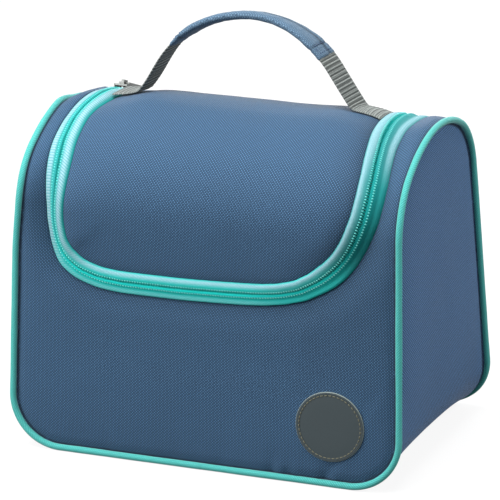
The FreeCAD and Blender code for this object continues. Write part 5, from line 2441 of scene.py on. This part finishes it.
@dataclass
class Badge:
    """A round patch with a cut edge and a ring of stitches, left bare."""

    RINGS = (
        (0.35, 0.9), (0.6, 0.88), (0.78, 0.82), (0.865, 0.66), (0.905, 0.66), (0.945, 0.86),
        (0.972, 0.84), (0.99, 0.7), (1.0, 0.45), (1.0, -0.2), (0.97, -0.8),
    )
    EDGE_RING = 8
    finishes: Finishes
    outer: Outer
    across: float = 0.0813
    up: float = 0.0378
    radius: float = 0.0215
    thickness: float = 0.0010
    stitch_inset: float = 0.0021
    stitch_rise: float = 0.68
    stitch: Point3 = (0.0019, 0.0007, 0.0006)  # length, gap, thickness
    around: int = 96
    seam_points: int = 200

    def circle(self, turns: Array, far: float, rise: float) -> Array:
        """Points on a circle round the middle of the patch.

        Args:
            turns: Angle of each point.
            far: Radius of the circle.
            rise: Height above the cloth as a share of the thickness.

        Returns:
            The points in space.
        """
        along = PROFILE.along_wall(self.up, -1) + far * np.sin(turns)
        flat = np.stack([self.across + far * np.cos(turns), along], axis=1)
        level = float(self.outer.wrap_rise(np.array([[self.across, along.mean()]]))[0])
        return wrap_points(flat, level + rise * self.thickness)

    def build(self) -> list[Piece]:
        """Makes the patch and its stitches.

        Returns:
            The pieces.
        """
        around = self.around
        turns = np.linspace(0, 2 * math.pi, around, endpoint=False)
        points = [self.circle(np.zeros(1), 0.0, self.RINGS[0][1])]
        points += [self.circle(turns, self.radius * share, rise) for share, rise in self.RINGS]
        faces = [(0, 1 + j, 1 + (j + 1) % around) for j in range(around)]
        rings = grid_faces(len(self.RINGS), around, True)
        faces += [(1 + a, 1 + d, 1 + c, 1 + b) for a, b, c, d in rings]
        item = new_mesh("badge_disc", np.concatenate(points), faces, self.finishes.badge)
        item.data.materials.append(self.finishes.badge_edge)
        for face in item.data.polygons:
            face.material_index = int(face.index >= around * self.EDGE_RING)
        tie(item, Part.BAG, ("badge_patch",))
        seam = np.linspace(0, 2 * math.pi, self.seam_points)
        path = self.circle(seam, self.radius - self.stitch_inset, self.stitch_rise)
        middle = np.array([[self.across, self.up]])
        away = np.repeat(wrap_points(middle, 1.0) - wrap_points(middle), len(seam), axis=0)
        stitches = stitch_mesh(path, away, *self.stitch)
        thread = new_mesh("badge_stitches", *stitches, self.finishes.badge_thread)
        return [item, tie(thread, Part.BAG)]


# Studio


@dataclass
class Studio:
    """Pale floor, soft lamps and the camera."""

    LAMPS = (
        ("lamp_top", (-0.1, -0.35, 1.35), 1.0, 26.5),
        ("lamp_front", (-0.75, -1.25, 0.75), 1.0, 10.5),
        ("lamp_left", (-1.2, -1.0, 0.7), 0.9, 16.0),
        ("lamp_right", (1.5, 0.15, 1.0), 0.9, 17.0),
        ("lamp_back", (-0.3, 1.7, 0.5), 1.0, 11.0),
    )
    WHITE = (1, 1, 1, 1)
    image: float = 500.0
    focal: float = 4420.0
    sensor: float = 36.0
    place: Point3 = (0.9380, -2.3943, 0.91645)
    ahead: Point3 = (-0.348, 0.889, -0.298)
    shift: Point2 = (-0.0106, -0.001)
    clip: Point2 = (0.1, 30.0)
    aim: Point3 = (0, 0, 0.1)
    floor_half: float = 6.0
    floor_drop: float = 0.0003
    floor_grey: float = 0.15
    floor_glow: float = 0.87
    world_light: float = 0.22

    def build(self) -> None:
        """Sets up everything round the bag."""
        self.build_floor()
        self.build_world()
        for lamp in self.LAMPS:
            self.build_lamp(*lamp)
        self.build_camera()

    def build_floor(self) -> None:
        """A plain pale floor that keeps the bag's shadow."""
        material = bpy.data.materials.new("pale_floor")
        material.use_nodes = True
        tree = Tree(material.node_tree)
        colour = (*[self.floor_grey] * 3, 1)
        lit = {"Color": self.WHITE, "Strength": self.floor_glow}
        plain = tree.make("ShaderNodeBsdfDiffuse", {"Color": colour})[0]
        glow = tree.make("ShaderNodeEmission", lit)[0]
        both = tree.make("ShaderNodeAddShader", {0: plain, 1: glow})[0]
        mix = tree.make("ShaderNodeMixShader", {0: tree.backdrop_ray(), 1: plain, 2: both})[0]
        tree.make("ShaderNodeOutputMaterial", {"Surface": mix})
        ways = ((-1, -1), (1, -1), (1, 1), (-1, 1))
        corners = [(x * self.floor_half, y * self.floor_half, -self.floor_drop) for x, y in ways]
        floor = new_mesh("floor", np.array(corners), [(0, 1, 2, 3)], material)

    def build_world(self) -> None:
        """Soft white light from all round."""
        world = bpy.data.worlds.new("studio")
        bpy.context.scene.world = world
        world.use_nodes = True
        tree = Tree(world.node_tree)
        light = self.world_light
        strength = tree.math("MULTIPLY_ADD", tree.backdrop_ray(), 1 - light, light)
        lit = {"Color": self.WHITE, "Strength": strength}
        glow = tree.make("ShaderNodeBackground", lit)[0]
        tree.make("ShaderNodeOutputWorld", {"Surface": glow})

    def build_lamp(self, name: str, place: tuple, size: float, power: float) -> None:
        """A square lamp that points at the bag.

        Args:
            name: Name of the lamp.
            place: Where it hangs.
            size: Length of its side.
            power: Its power in watts.
        """
        light = bpy.data.lights.new(name, "AREA")
        light.size = size
        light.energy = power
        self.hang(light, place, Vector(self.aim) - Vector(place))

    @staticmethod
    def hang(data: bpy.types.ID, place: Sequence[float], ahead: Sequence[float]) -> Piece:
        """Puts a lamp or camera in its place, looking ahead.

        Args:
            data: The lamp or camera.
            place: Where it hangs.
            ahead: Where it looks.

        Returns:
            The object.
        """
        item = bpy.data.objects.new(data.name, data)
        item.location = place
        item.rotation_euler = Vector(ahead).to_track_quat("-Z", "Y").to_euler()
        bpy.context.collection.objects.link(item)
        return item

    def build_camera(self) -> None:
        """The camera, where the photograph was taken from."""
        data = bpy.data.cameras.new("camera")
        data.sensor_width = self.sensor
        data.lens = self.focal / self.image * self.sensor
        data.shift_x, data.shift_y = self.shift
        data.clip_start, data.clip_end = self.clip
        bpy.context.scene.camera = self.hang(data, self.place, self.ahead)


def dress_metal(finishes: Finishes) -> None:
    """Gives the slider, its pull and the end stops their metal.

    Args:
        finishes: The finishes of the bag.
    """
    for name in ("slider_body", "slider_pull", "zipper_stops"):
        for slot in bpy.data.objects[name].material_slots:
            slot.material = finishes.metal


def main() -> None:
    """Builds the bag round its frame."""
    logging.basicConfig(level=logging.INFO, format="%(message)s")
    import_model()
    bpy.context.scene.view_settings.view_transform = "Standard"
    finishes = Finishes()
    outer = Outer(finishes)
    lining = Lining(finishes)
    handle = Handle(finishes, outer)
    makers: list[Callable[[], object]] = [
        outer.build_wrap, outer.build_lid, outer.build_gusset, Piping(finishes).build,
        Zipper(finishes).build, lining.build_wrap, lining.build_sides, lining.build_lid,
        handle.build_strap, handle.build_grip, handle.build_stitches, Badge(finishes, outer).build,
    ]
    for make in makers:
        made = make()
        for item in made if isinstance(made, list) else [made]:
            LOG.info("%s: %d faces", item.name, len(item.data.polygons))
    dress_metal(finishes)
    Studio().build()
    bpy.context.view_layer.update()


if __name__ == "__main__":
    main()
